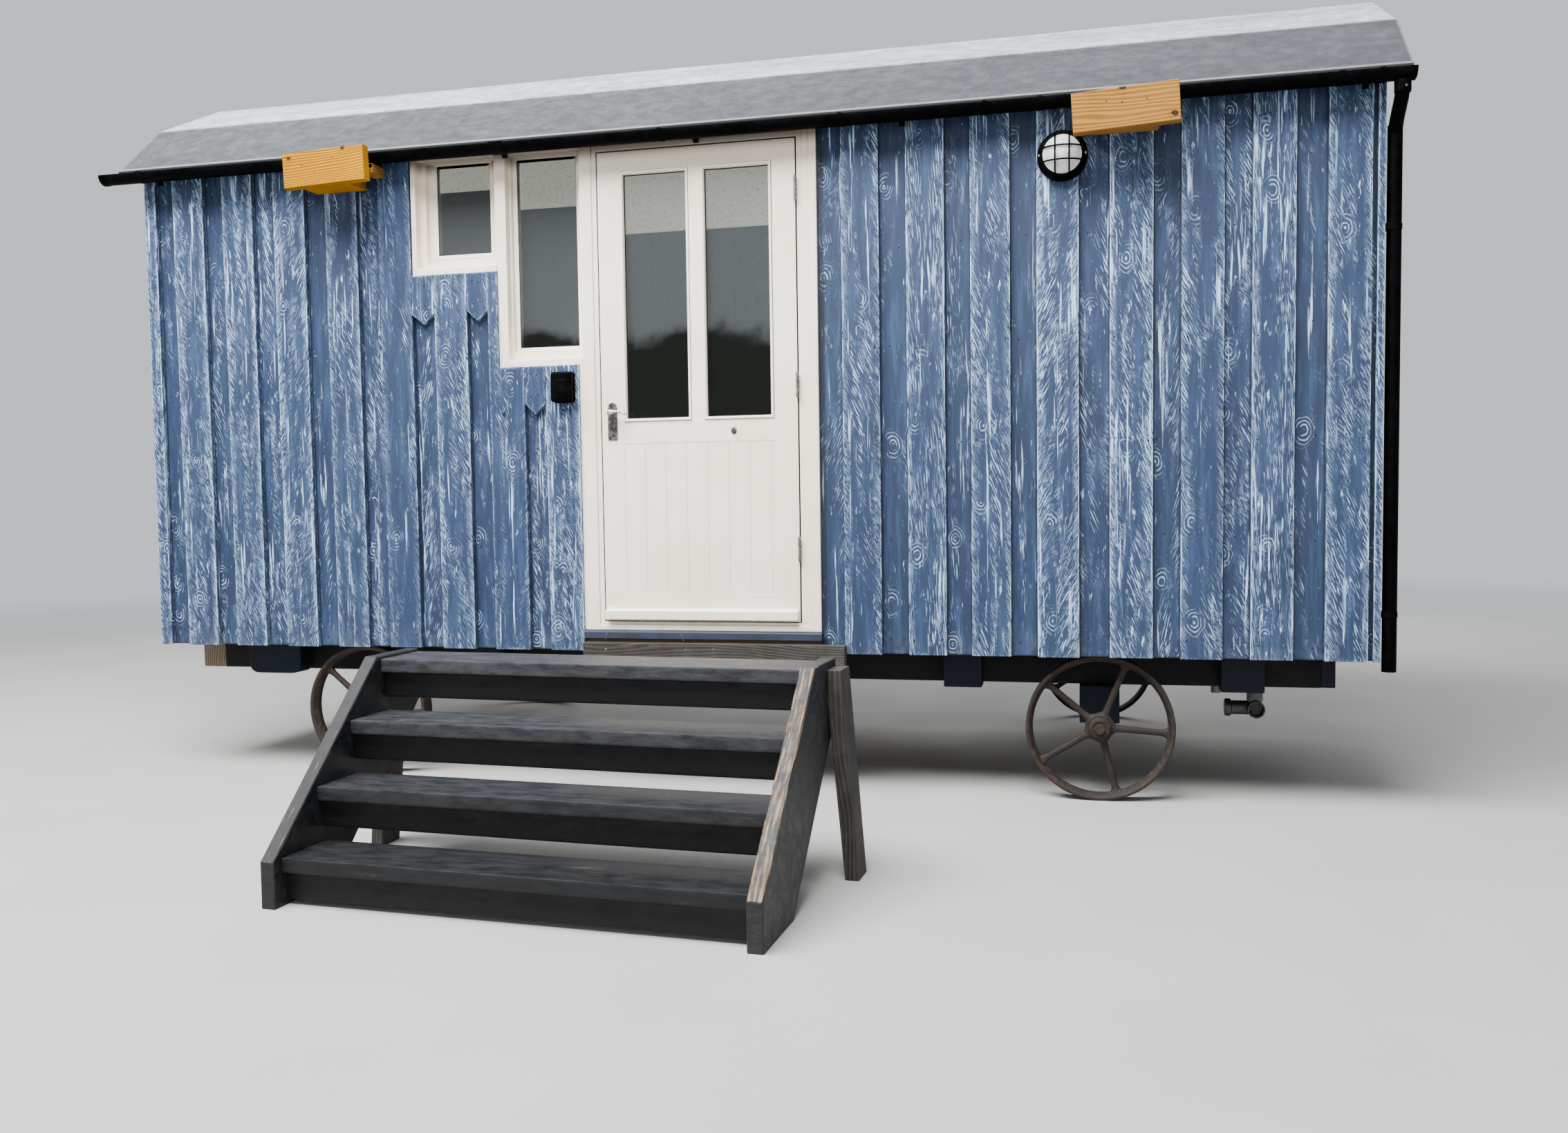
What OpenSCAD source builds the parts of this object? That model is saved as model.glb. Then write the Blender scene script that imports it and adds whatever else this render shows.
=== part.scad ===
// Shepherds hut: a timber cabin with a knuckled roof, standing on four cast iron wheels.
// X runs along the front wall, Y runs into the hut, Z is up from the ground.

/* [Hut body] */
// Length of the hut over its cladding
hut_l = 5180; // [4300:10:6300]
// Width of the hut over its cladding
hut_w = 2130; // [1750:10:2600]
// Height of the cladding's lower edge above the ground
clad_bottom = 568; // [540:1:690]
// Height of the eave above the cladding's lower edge
eave_h = 2124; // [2122:1:2560]
// Thickness of the timber framed wall behind the cladding
wall_t = 75; // [50:1:110]
// Height of the floor's underside above the cladding's lower edge
skirt = 40; // [30:1:50]
// Thickness of the floor
floor_t = 48; // [40:1:60]
// Thickness of the rim board that backs the cladding below the floor
rim_t = 10; // [6:1:10]

/* [Cladding] */
// Thickness of the boards that lie behind
back_board_t = 20; // [12:1:30]
// Thickness of the boards that stand proud
front_board_t = 25; // [16:1:32]
// Width of a proud board
board_w = 150; // [120:1:180]
// Pitch of the proud boards left of the doorway
board_pitch = 254.8; // [190:0.1:310]
// Pitch of the proud boards right of the doorway
board_pitch_right = 257; // [190:0.1:310]
// Width of the corner board
corner_board_w = 54; // [40:1:80]
// Width of the first recess beside the corner board and beside the door frame
first_recess = 96; // [60:1:110]

/* [Roof] */
// Thickness of the roof shell
roof_t = 26; // [15:1:27]
// Overhang of the eave in front of the cladding
eave_out = 64; // [50:1:75]
// Overhang of the roof past each end wall
verge_out = 74; // [50:1:110]
// Run and rise of the steep lowest facet
facet_1 = [274, 249];
// Run and rise of the middle facet
facet_2 = [432, 216];
// Slope of the facets beside the ridge in degrees
crown_slope = 10; // [4:1:16]

/* [Windows] */
// Left edge of the window surround
surround_x = 1316; // [1100:1:1500]
// Where the surround steps down, from its left edge
surround_step_x = 395; // [385:1:418]
// Right edge of the surround, from its left edge
surround_w = 770; // [745:1:850]
// Underside of the surround at the small window
surround_low_1 = 1603; // [1350:1:1640]
// Underside of the surround at the tall window
surround_low_2 = 1199; // [1000:1:1230]
// Small window light: left, bottom, width and height
small_light = [89, 1697, 247, 379];
// Tall window light: left, bottom, width and height
tall_light = [461, 1286, 268, 790];
// Width of the casing's face beside the small window, beside the tall one, below both and above both
casing_w = [21, 43, 30, 20];
// Depth of the casing's reveal and of the step behind it
reveal_d = [42, 25];
// Width of the inner step round the small and the tall window light
window_bead = [39, 20];
// Thickness of a glass pane
glass_t = 6; // [4:1:12]
// Depth of the glass behind the face of the frame
glass_in = 73; // [70:1:80]

/* [Door] */
// Left edge of the door leaf
leaf_x = 2165; // [2160:1:2400]
// Width of the door leaf
leaf_w = 838; // [700:1:900]
// Underside of the door leaf above the cladding's lower edge
leaf_z = 128; // [126:1:150]
// Height of the door leaf
leaf_h = 1934; // [1700:1:1934]
// Thickness of the door leaf
leaf_t = 44; // [35:1:54]
// Gap all round the door leaf
leaf_gap = 5; // [5:1:8]
// Depth of the leaf's face behind the proud boards
leaf_in = 16; // [12:1:24]
// Depth of the frame's face behind the proud boards
frame_in = 12; // [6:1:14]
// Height of the painted sill under the frame
sill_h = 33; // [20:1:40]
// Depth of the door frame and the window surround
frame_d = 108; // [102:1:120]
// Width of the door frame left of the leaf, at its foot
jamb_left = 94; // [70:1:140]
// Width of the door frame right of the leaf
jamb_right = 86; // [60:1:140]
// Height of the frame above the door leaf
frame_head = 48; // [30:1:60]
// Overlap of the rebate behind the leaf
rebate = 12; // [8:1:20]
// Width and depth of the frame's step beside the leaf
frame_step = [22, 6];
// Width of a leaf stile
stile_w = 99; // [70:1:120]
// Height of the panes' lower edge above the leaf's foot
pane_z = 840; // [700:1:1000]
// Height of a pane
pane_h = 1000; // [700:1:1000]
// Width of the upright between the panes, bead to bead
muntin_w = 56; // [40:1:90]
// Width of the raised bead round a pane
bead_w = 11; // [6:1:18]
// Height of the boarded panel's lower edge above the leaf's foot
panel_z = 115; // [100:1:160]
// Height of the boarded panel
panel_h = 620; // [400:1:660]
// Depth of the boarded panel's recess
panel_in = 8; // [4:1:12]
// Number of boards in the panel
panel_boards = 7; // [5:1:9]
// Projection of the weatherboard from the leaf
weatherboard_out = 26; // [15:1:27]
// Height of the weatherboard
weatherboard_h = 44; // [30:1:60]

/* [Door furniture] */
// Distance of the hinge pin in front of the leaf's face
pin_out = 12; // [11:0.5:14]
// Diameter of a hinge knuckle
knuckle_d = 12; // [10:0.5:14]
// Diameter of the hinge pin
pin_d = 5; // [4:0.5:7]
// Running clearance of pins, necks and axles in their holes, on the radius
run_gap = 0.1; // [0.05:0.01:0.1]
// Length of a hinge
hinge_l = 100; // [75:1:125]
// Heights of the hinges' lower ends above the leaf's foot
hinge_z = [245, 906, 1685];
// Size of the lever's plate
plate_size = [41, 4, 157];
// Height of the lever's spindle above the leaf's foot
spindle_z = 867; // [780:1:950]
// Distance of the lever's spindle from the leaf's free edge
backset = 47; // [40:1:60]
// Length of the lever
lever_l = 74; // [60:1:120]
// Distance from the hinge pin to the door's eye plate
eye_back = 270; // [200:1:400]
// Distance from the hinge pin to the cabin hook on the wall
hook_out = 318; // [280:1:420]
// Length of the cabin hook
hook_l = 142; // [100:1:200]

/* [Gutter and downpipe] */
// Outer radius of the half round gutter
gutter_r = 38; // [36:1:44]
// Wall of the gutter and the pipes
plastic_t = 3; // [2:0.5:4]
// Distance of the gutter's middle from the cladding
gutter_out = 75; // [70:1:80]
// Depth of the gutter's rim below the eave
gutter_drop = 18; // [12:0.5:20]
// Overhang of the gutter past the left and right ends of the hut
gutter_over = [143, 78];
// Outer diameter of the downpipe
pipe_d = 50; // [40:1:68]
// Distance of the downpipe behind the front of the hut
pipe_in = 35; // [30:1:80]
// Gap between the downpipe and the end wall
pipe_off = 10; // [5:1:25]
// Length of the straight downpipe below the offset bend
pipe_l = 1972; // [1500:1:1990]

/* [Lifting timbers] */
// Section and length of an outer plate: length, thickness and height
lift_plate = [378, 45, 144];
// Size of the block that carries a plate: length, depth and height
lift_block = [238, 135, 87];
// Height of the blocks' undersides above the cladding's lower edge
lift_z = 1977; // [1900:1:1977]
// Left ends of the blocks
lift_x = [877, 4156];
// Tilt of the left and the right plate in degrees
lift_tilt = [2.2, 3.2];
// How far each plate starts left of its block and below it
lift_lap = [[41, 13], [69, 36]];
// Rail beside the left block: gap, width, depth, and lower and upper edge above the block's underside
lift_rail = [40, 50, 100, 47, 87];

/* [Chassis and wheels] */
// Depth of the chassis beams
beam_h = 135; // [90:1:180]
// Thickness of the chassis beams
beam_t = 75; // [50:1:110]
// Distance of the beams' outer faces from the hut's faces
beam_in = 250; // [210:1:320]
// Radius of a wheel
wheel_r = 285; // [240:1:300]
// Width of a wheel's rim
rim_w = 75; // [50:1:78]
// Radial depth of a wheel's rim
rim_h = 27; // [20:1:35]
// Distance of the wheels' outer faces from the hut's faces
wheel_in = 60; // [55:1:90]
// Distance of each axle from the end of the hut
axle_x = 998; // [950:1:1400]
// Number of spokes in a wheel
spokes = 5; // [5:1:7]
// Width of a spoke at the rim
spoke_w = 29; // [20:1:34]
// Diameter of a wheel's hub
hub_d = 87; // [76:1:100]
// Diameter of the axle
axle_d = 45; // [30:1:52]
// Width of the timber bolster over each axle
bolster_w = 155; // [110:1:185]

/* [Steps] */
// Front left corner of the top tread
steps_at = [1819, -1182];
// Turn of the steps in degrees
steps_turn = -3.15; // [-4:0.05:4]
// Length of a tread between the stringers
tread_l = 1475; // [1200:1:1780]
// Thickness of a tread
tread_t = 44; // [32:1:50]
// Depth of a lower tread
tread_d = 218; // [200:1:225]
// Depth of the top tread
top_tread_d = 232; // [226:1:300]
// Number of treads
treads = 4; // [3:1:4]
// Rise from tread to tread
rise = 177; // [148:1:213]
// Height of the lowest tread's top
first_rise = 147; // [123:1:180]
// Going from tread to tread
going = 179; // [150:1:215]
// Thickness of a stringer
stringer_t = 48; // [36:1:60]
// Height of a riser board
riser_h = 86; // [70:1:100]
// Thickness of a riser board
riser_t = 20; // [15:1:25]
// Width and thickness of a back leg
leg_size = [110, 45];
// Splay of a back leg's foot
leg_splay = 50; // [20:1:90]

/* [Hidden] */

fine = 48;       // facets of a round feature
eps = 1;         // how far a cutting tool runs past a face

// Cladding, walls and floor
clad_t = back_board_t + front_board_t;
wall_in = clad_t + wall_t;
floor_z = skirt + floor_t;
board_starts_left = [for (i = [0 : 4]) corner_board_w + first_recess - 2 + i * board_pitch];
board_starts_under = [for (i = [5 : 7]) corner_board_w + first_recess - 2 + i * board_pitch];

// Door frame
frame_x0 = leaf_x - jamb_left;
frame_x1 = leaf_x + leaf_w + jamb_right;
frame_z0 = floor_z;
frame_z1 = leaf_z + leaf_h + frame_head;
frame_y1 = frame_in + frame_d;
surround_x1 = surround_x + surround_w;
glass_y = frame_in + glass_in;
pin = [leaf_x + leaf_w + leaf_gap / 2, leaf_in - pin_out];

// Roof outline from the front eave to the ridge
ridge_run = hut_w / 2 + eave_out - facet_1[0] - facet_2[0];
roof_half = [
    [-eave_out, eave_h],
    [-eave_out + facet_1[0], eave_h + facet_1[1]],
    [-eave_out + facet_1[0] + facet_2[0], eave_h + facet_1[1] + facet_2[1]],
    [hut_w / 2, eave_h + facet_1[1] + facet_2[1] + ridge_run * tan(crown_slope)]];
roof_out = concat(roof_half, [for (i = [2 : -1 : 0]) [hut_w - roof_half[i][0], roof_half[i][1]]]);
roof_in = [for (i = [0 : len(roof_out) - 1]) inset_point(i)];

// Gutter and downpipe
gutter_z = eave_h - gutter_drop;
pipe_x = hut_l + pipe_off + pipe_d / 2;
pipe_top = gutter_z - gutter_r - 134;
bend_top = pipe_top + 90;
socket_d = pipe_d + 6;

// Wheels and axles
axle_z = wheel_r - clad_bottom;
axle_xs = [axle_x, hut_l - axle_x];
hub_l = rim_w + 30;
hub_out = 8;      // how far the hub stands out past the rim's face
side_gap = 0.5;   // side play of a hub between its cap and its collar
collar_l = 20;
cap_d = 72;
cap_t = 10;
bolt_d = 41;

// Steps
step_top = first_rise + (treads - 1) * rise;
step_foot = (treads - 1) * going + 33;
step_slope = rise / going;

// The whole model's box, from which its middle is found
x_min = -gutter_over[0];
x_max = hut_l + max(verge_out, gutter_over[1]);
y_min = steps_at[1] + (tread_l + stringer_t) * sin(steps_turn) - step_foot * cos(steps_turn);
y_max = hut_w + gutter_out + gutter_r;
middle = [(x_min + x_max) / 2, (y_min + y_max) / 2];

function unit(v) = v / norm(v);
function inward(a, b) = let (d = unit(b - a)) [d[1], -d[0]];
// A point of the roof's underside: the outline's point moved in along its mitre
function inset_point(i) =
    let (last = len(roof_out) - 1,
        n1 = inward(roof_out[max(i - 1, 0)], roof_out[max(i, 1)]),
        n2 = inward(roof_out[min(i, last - 1)], roof_out[min(i + 1, last)]))
    roof_out[i] + roof_t * (n1 + n2) / (1 + n1 * n2);
// Height of the roof's underside at a depth
function under(y) = lookup(y, roof_in);
function right_boards() =
    let (start = frame_x1 + first_recess + 5,
        n = floor((hut_l - corner_board_w - 20 - board_w - start) / board_pitch_right))
    [for (i = [0 : n]) start + i * board_pitch_right];

// Placing: hut() stands the hut on its wheels, on_ground() starts from the ground
module hut() translate([-middle[0], -middle[1], clad_bottom]) children();
module on_ground() translate([-middle[0], -middle[1], 0]) children();
module rear() translate([0, hut_w, 0]) mirror([0, 1, 0]) children();
module both_sides() {
    children();
    rear() children();
}

// A box between two corners
module block(a, b) translate(a) cube(b - a);
// A (Y, Z) outline carried along X
module along_x(x0, x1) translate([x0, 0, 0]) rotate([90, 0, 90]) linear_extrude(x1 - x0) children();
// An (X, Z) outline carried along Y
module along_y(y0, y1) translate([0, y1, 0]) rotate([90, 0, 0]) linear_extrude(y1 - y0) children();
// A cylinder along Y that starts at a point
module rod_y(at, d, l) translate(at) rotate([-90, 0, 0]) cylinder(d = d, h = l, $fn = fine);
// A cylinder between two points
module rod(a, b, d) {
    v = b - a;
    translate(a) rotate([0, acos(v[2] / norm(v)), atan2(v[1], v[0])])
        cylinder(d = d, h = norm(v), $fn = fine);
}
module ring(at, turn, r, wire) translate(at) rotate(turn)
    rotate_extrude($fn = fine) translate([r, 0]) circle(d = wire, $fn = 24);

// Wall slab between two X places that follows the roof's underside at its top
module wall_slab(x0, x1, z0) along_x(x0, x1)
    polygon([[clad_t, z0], [wall_in, z0], [wall_in, under(wall_in)], [clad_t, under(clad_t)]]);

// Floor with the rim board that backs the cladding's foot
module floor_deck() color("#8a7a63") hut() difference() {
    block([clad_t, clad_t, 0], [hut_l - clad_t, hut_w - clad_t, floor_z]);
    block([clad_t + rim_t, clad_t + rim_t, -eps],
        [hut_l - clad_t - rim_t, hut_w - clad_t - rim_t, skirt]);
}

module front_wall_left() color("#b9a888") hut() wall_slab(clad_t, surround_x, floor_z);
module front_wall_right() color("#b9a888") hut() wall_slab(frame_x1, hut_l - clad_t, floor_z);
module front_wall_head() color("#b9a888") hut() wall_slab(surround_x, frame_x1, frame_z1);
module front_wall_under_windows() color("#b9a888") hut() along_y(clad_t, wall_in)
    polygon([[surround_x, floor_z], [frame_x0, floor_z], [frame_x0, surround_low_2],
        [surround_x + surround_step_x, surround_low_2],
        [surround_x + surround_step_x, surround_low_1], [surround_x, surround_low_1]]);
module rear_wall() color("#b9a888") hut() rear() wall_slab(clad_t, hut_l - clad_t, floor_z);

// Gable outline between two depths, up to the roof's underside
module gable(y0, z0) {
    inner = [for (p = roof_in) if (p[0] > y0 && p[0] < hut_w - y0) p];
    polygon(concat([[hut_w - y0, z0], [y0, z0], [y0, under(y0)]], inner,
        [[hut_w - y0, under(y0)]]));
}
module end_walls() color("#b9a888") hut() {
    along_x(clad_t, wall_in) gable(wall_in, floor_z);
    along_x(hut_l - wall_in, hut_l - clad_t) gable(wall_in, floor_z);
}

// Plan outline of a clad wall: a continuous back layer with proud boards
module board_plan(l, boards) {
    translate([0, front_board_t]) square([l, back_board_t]);
    for (x = boards) translate([x, 0]) square([board_w, front_board_t + eps]);
    square([corner_board_w, front_board_t + eps]);
    translate([l - 20, 0]) square([20, front_board_t + eps]);
}
// Outline of the doorway and the windows in the front wall
module front_opening() {
    polygon([[surround_x, surround_low_1], [surround_x + surround_step_x, surround_low_1],
        [surround_x + surround_step_x, surround_low_2], [frame_x0, surround_low_2],
        [frame_x0, sill_z0()], [frame_x1, sill_z0()], [frame_x1, frame_z1],
        [surround_x, frame_z1]]);
}
function sill_z0() = floor_z - sill_h;
module front_cladding() color("#5b7590") hut() difference() {
    union() {
        linear_extrude(under(0))
            board_plan(hut_l, concat(board_starts_left, board_starts_under, right_boards()));
        for (x = concat([board_starts_left[4]], [board_starts_under[0], board_starts_under[1]]))
            filler(x + board_w, x + board_pitch);
    }
    along_y(-eps, clad_t + eps) front_opening();
}
// Pointed strip that fills a recess below the window surround
filler_h = 160;
filler_tip = 44;
module filler(x0, x1) {
    top = x1 < surround_x + surround_step_x ? surround_low_1 : surround_low_2;
    along_y(0, front_board_t + eps)
        polygon([[x0 - eps, top], [x0 - eps, top - filler_h], [(x0 + x1) / 2, top - filler_h - filler_tip],
            [x1 + eps, top - filler_h], [x1 + eps, top]]);
}
module rear_cladding() color("#5b7590") hut() rear() linear_extrude(under(0))
    board_plan(hut_l, [for (x = [corner_board_w + first_recess : board_pitch : hut_l - board_w - 50]) x]);
// Plan of an end wall's boards along Y, proud side at X = 0
module end_plan() {
    span = hut_w - 2 * clad_t;
    n = floor((span - first_recess) / board_pitch);
    start = (span - (n - 1) * board_pitch - board_w) / 2;
    translate([front_board_t, 0]) square([back_board_t, span]);
    for (i = [0 : n - 1]) translate([0, start + i * board_pitch])
        square([front_board_t + eps, board_w]);
}
module end_skin() intersection() {
    translate([0, clad_t, 0]) linear_extrude(roof_half[3][1]) end_plan();
    along_x(-eps, clad_t + eps) gable(clad_t, 0);
}
module end_cladding() color("#5b7590") hut() {
    end_skin();
    translate([hut_l, 0, 0]) mirror([1, 0, 0]) end_skin();
}

module roof() color("#b4b8bb") hut() along_x(-verge_out, hut_l + verge_out)
    polygon(concat(roof_out, [for (i = [len(roof_in) - 1 : -1 : 0]) roof_in[i]]));

// Windows: a stepped reveal leads in from the casing's face to each light
step_x = surround_x + surround_step_x;
head_z = frame_z1 - casing_w[3];
module light(at, grow = 0) translate([surround_x + at[0] - grow, at[1] - grow])
    square([at[2] + 2 * grow, at[3] + 2 * grow]);
module lights() {
    light(small_light);
    light(tall_light);
}
module rect(x0, z0, x1, z1) translate([x0, z0]) square([x1 - x0, z1 - z0]);
module small_reveal(in = 0) rect(surround_x + casing_w[0] + in, surround_low_1 + casing_w[2] + in,
    step_x - 5 - in, head_z - in);
module tall_reveal(in = 0) rect(step_x + casing_w[1] + in, surround_low_2 + casing_w[2] + in,
    surround_x1 + eps - in, head_z - in);
module window_surround() color("#e6e2d8") hut() difference() {
    along_y(frame_in, frame_y1) polygon([[surround_x, surround_low_1], [step_x, surround_low_1],
        [step_x, surround_low_2], [surround_x1, surround_low_2], [surround_x1, frame_z1],
        [surround_x, frame_z1]]);
    along_y(frame_in - eps, frame_in + reveal_d[0]) {
        small_reveal();
        tall_reveal();
    }
    along_y(frame_in, frame_in + reveal_d[0] + reveal_d[1]) {
        inner_step(small_light, window_bead[0]) small_reveal(6);
        inner_step(tall_light, window_bead[1]) tall_reveal(6);
    }
    along_y(frame_in, frame_y1 + eps) lights();
}
module inner_step(at, grow) intersection() {
    light(at, grow);
    children();
}
module window_glass() color("#9fb0ad") hut() along_y(glass_y, glass_y + glass_t) lights();
module window_blinds() color("#d9dad6") hut() along_y(glass_y + glass_t + 14, glass_y + glass_t + 16) {
    blind(small_light, 272);
    blind(tall_light, 589);
}
module blind(at, from) translate([surround_x + at[0], at[1] + from])
    square([at[2], at[3] - from]);

// Door frame with its threshold and rebate
module door_frame() color("#e6e2d8") hut() difference() {
    along_y(frame_in, frame_y1) polygon([[frame_x0, frame_z0], [frame_x1, frame_z0],
        [frame_x1, frame_z1], [surround_x1, frame_z1], [surround_x1, surround_low_2],
        [frame_x0, surround_low_2]]);
    block([leaf_x - leaf_gap, frame_in - eps, leaf_z - leaf_gap],
        [leaf_x + leaf_w + leaf_gap, leaf_in + leaf_t + leaf_gap, leaf_z + leaf_h + leaf_gap]);
    block([leaf_x + rebate, 0, leaf_z + rebate / 2],
        [leaf_x + leaf_w - rebate, frame_y1 + eps, leaf_z + leaf_h - rebate]);
    block([leaf_x - leaf_gap - frame_step[0], frame_in - eps, leaf_z],
        [leaf_x + leaf_w + leaf_gap + frame_step[0], frame_in + frame_step[1],
            leaf_z + leaf_h + leaf_gap + frame_step[0]]);
}
module door_sill() color("#4b6076") hut()
    block([frame_x0, -10, sill_z0()], [frame_x1, clad_t, frame_z0]);
module ledger_board() color("#7d6e5d") hut()
    block([frame_x0 + 11, -45, -56], [frame_x1 + 106, 0, 39]);

// Door leaf: two lights over a boarded panel, with a weatherboard at its foot
leaf_x1 = leaf_x + leaf_w;
pane_w = (leaf_w - 2 * stile_w - muntin_w) / 2 - 2 * bead_w;
pane_xs = [leaf_x + stile_w + bead_w, leaf_x1 - stile_w - bead_w - pane_w];
module pane(x, grow = 0) translate([x - grow, leaf_z + pane_z - grow])
    square([pane_w + 2 * grow, pane_h + 2 * grow]);
module door_leaf() color("#e6e2d8") hut() {
    difference() {
        block([leaf_x, leaf_in, leaf_z], [leaf_x1, leaf_in + leaf_t, leaf_z + leaf_h]);
        for (x = pane_xs) along_y(leaf_in - eps, leaf_in + leaf_t + eps) pane(x);
        block([leaf_x + stile_w, leaf_in - eps, leaf_z + panel_z],
            [leaf_x1 - stile_w, leaf_in + panel_in, leaf_z + panel_z + panel_h]);
        for (i = [1 : panel_boards - 1]) panel_groove(leaf_x + stile_w
            + i * (leaf_w - 2 * stile_w) / panel_boards);
    }
    for (x = pane_xs) along_y(leaf_in - 5, leaf_in) difference() {
        pane(x, bead_w);
        pane(x);
    }
    weatherboard();
}
module panel_groove(x) block([x - 2, leaf_in, leaf_z + panel_z],
    [x + 2, leaf_in + panel_in + 3, leaf_z + panel_z + panel_h]);
module weatherboard() along_x(leaf_x + 6, leaf_x1 - 6)
    polygon([[leaf_in, leaf_z + 8], [leaf_in - weatherboard_out, leaf_z + 8],
        [leaf_in - weatherboard_out, leaf_z + 8 + weatherboard_h * 0.75],
        [leaf_in, leaf_z + 8 + weatherboard_h]]);
module door_glass() color("#9fb0ad") hut() for (x = pane_xs)
    along_y(leaf_in + leaf_t / 2 - glass_t / 2, leaf_in + leaf_t / 2 + glass_t / 2) pane(x);
module door_blinds() color("#d9dad6") hut() for (x = pane_xs)
    along_y(leaf_in + leaf_t / 2 + glass_t / 2 + 6, leaf_in + leaf_t / 2 + glass_t / 2 + 8)
        translate([x, leaf_z + pane_z + pane_h - 236]) square([pane_w, 236]);

// Hinges: five knuckles on a pin, the second and the fourth on the leaf
knuckle_l = hinge_l / 5;
module knuckle(i, z) translate([pin[0], pin[1], z + i * knuckle_l + 0.3])
    cylinder(d = knuckle_d, h = knuckle_l - 0.6, $fn = fine);
module flap(x, z) block([x, pin[1] + knuckle_d / 2 + 0.6, z],
    [x + leaf_gap / 2 - 0.3, leaf_in + leaf_t - 8, z + hinge_l]);
module neck(x, i, z) block([x, pin[1], z + i * knuckle_l + 0.3],
    [x + leaf_gap / 2 - 0.3, leaf_in + 2, z + (i + 1) * knuckle_l - 0.3]);
module door_hinges() color("#b9bdbf") hut() for (dz = hinge_z) let (z = leaf_z + dz) {
    difference() {
        union() for (i = [1, 3]) {
            knuckle(i, z);
            neck(leaf_x1, i, z);
        }
        translate([pin[0], pin[1], z]) cylinder(d = pin_d + 2 * run_gap, h = hinge_l, $fn = fine);
    }
    flap(leaf_x1, z);
}
module frame_hinges() color("#b9bdbf") hut() for (dz = hinge_z) let (z = leaf_z + dz) {
    for (i = [0, 2, 4]) {
        knuckle(i, z);
        neck(pin[0] + 0.3, i, z);
    }
    translate([pin[0], pin[1], z + 0.3]) cylinder(d = pin_d, h = hinge_l - 0.6, $fn = fine);
    flap(pin[0] + 0.3, z);
}

// Lever handle on its plate
spindle = [leaf_x + backset, leaf_z + spindle_z];
neck_d = 16;
lever_out = 38;
module handle_plate() color("#8d8f8f") hut() difference() {
    block([spindle[0] - plate_size[0] / 2, leaf_in - plate_size[1], spindle[1] - 114],
        [spindle[0] + plate_size[0] / 2, leaf_in, spindle[1] - 114 + plate_size[2]]);
    rod_y([spindle[0], leaf_in - plate_size[1] - eps, spindle[1]], neck_d + 2 * run_gap, 10);
}
module door_lever() color("#8d8f8f") hut() {
    rod_y([spindle[0], leaf_in - lever_out, spindle[1]], neck_d, lever_out - 0.3);
    rod_y([spindle[0], leaf_in - lever_out, spindle[1]], 24, 9);
    along_y(leaf_in - lever_out, leaf_in - lever_out + 9)
        polygon([[spindle[0], spindle[1] - 9], [spindle[0] + lever_l - 8, spindle[1] - 5],
            [spindle[0] + lever_l - 8, spindle[1] + 5], [spindle[0], spindle[1] + 9]]);
    rod_y([spindle[0] + lever_l - 8, leaf_in - lever_out, spindle[1]], 18, 9);
}

// Eye plate on the door for the cabin hook
wire = 4;
eye_r = 8;
hook_z = leaf_z + 781;
module door_eye() color("#8d8f8f") hut() translate([pin[0] - eye_back, leaf_in, hook_z]) {
    rotate([90, 0, 0]) cylinder(d = 26, h = 3, $fn = fine);
    ring([0, -3 - eye_r - wire / 2 + 1, 0], [0, 90, 0], eye_r, wire);
}

// Cabin hook that hangs from a screw eye on a board
hook_x = pin[0] + hook_out;
eye_y = -eye_r - wire / 2 - 3;
link_drop = 2 * eye_r - wire - 0.3;
shank_d = 6;
module cabin_hook_eye() color("#8d8f8f") hut() {
    rod_y([hook_x, eye_y + eye_r, hook_z], wire, -eye_y - eye_r);
    ring([hook_x, eye_y, hook_z], [0, 90, 0], eye_r, wire);
}
module cabin_hook() color("#8d8f8f") hut() translate([hook_x, eye_y, hook_z - link_drop]) {
    foot = -hook_l + link_drop + eye_r;
    ring([0, 0, 0], [90, 0, 0], eye_r, wire);
    translate([0, 0, foot]) cylinder(d = shank_d, h = 1 - eye_r - foot, $fn = fine);
    rod([0, 0, foot + 3], [16, 0, foot - 3], shank_d - 1);
}

// Key safe with rounded corners: left, lower, right and upper edge
safe = [frame_x0 - 112, 1040, frame_x0 - 16, 1170];
safe_r = 18;
module key_safe() color("#2b2c2d") hut() along_y(-45, 0) {
    rect(safe[0] + safe_r, safe[1], safe[2] - safe_r, safe[3]);
    rect(safe[0], safe[1] + safe_r, safe[2], safe[3] - safe_r);
    for (x = [safe[0] + safe_r, safe[2] - safe_r], z = [safe[1] + safe_r, safe[3] - safe_r])
        translate([x, z]) circle(r = safe_r, $fn = fine);
}

// Round bulkhead light: a deep ring with a domed glass and a guard
light_at = [4045, 1907];
light_r = 94;
module bulkhead_light() color("#1c1d1e") hut() translate([light_at[0], 0, light_at[1]])
    rotate([90, 0, 0]) {
        rotate_extrude($fn = fine) polygon([[0, 0], [light_r, 0], [light_r, 18],
            [light_r - 8, 34], [light_r - 17, 42], [0, 42]]);
        intersection() {
            translate([0, 0, 42 - 64]) sphere(r = 99, $fn = fine);
            translate([0, 0, 42]) cylinder(r = light_r - 17, h = 60, $fn = fine);
        }
        guard();
    }
// Guard of two upright and two level bars that stand proud of the dome
guard_bar = 6;
module guard() intersection() {
    translate([0, 0, 42 - 64]) sphere(r = 103, $fn = fine);
    translate([0, 0, 36]) cylinder(r = light_r - 12, h = 60, $fn = fine);
    union() for (turn = [0, 90], off = [-26, 26]) rotate([0, 0, turn])
        translate([off - guard_bar / 2, -light_r, 0]) cube([guard_bar, 2 * light_r, 100]);
}

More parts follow.
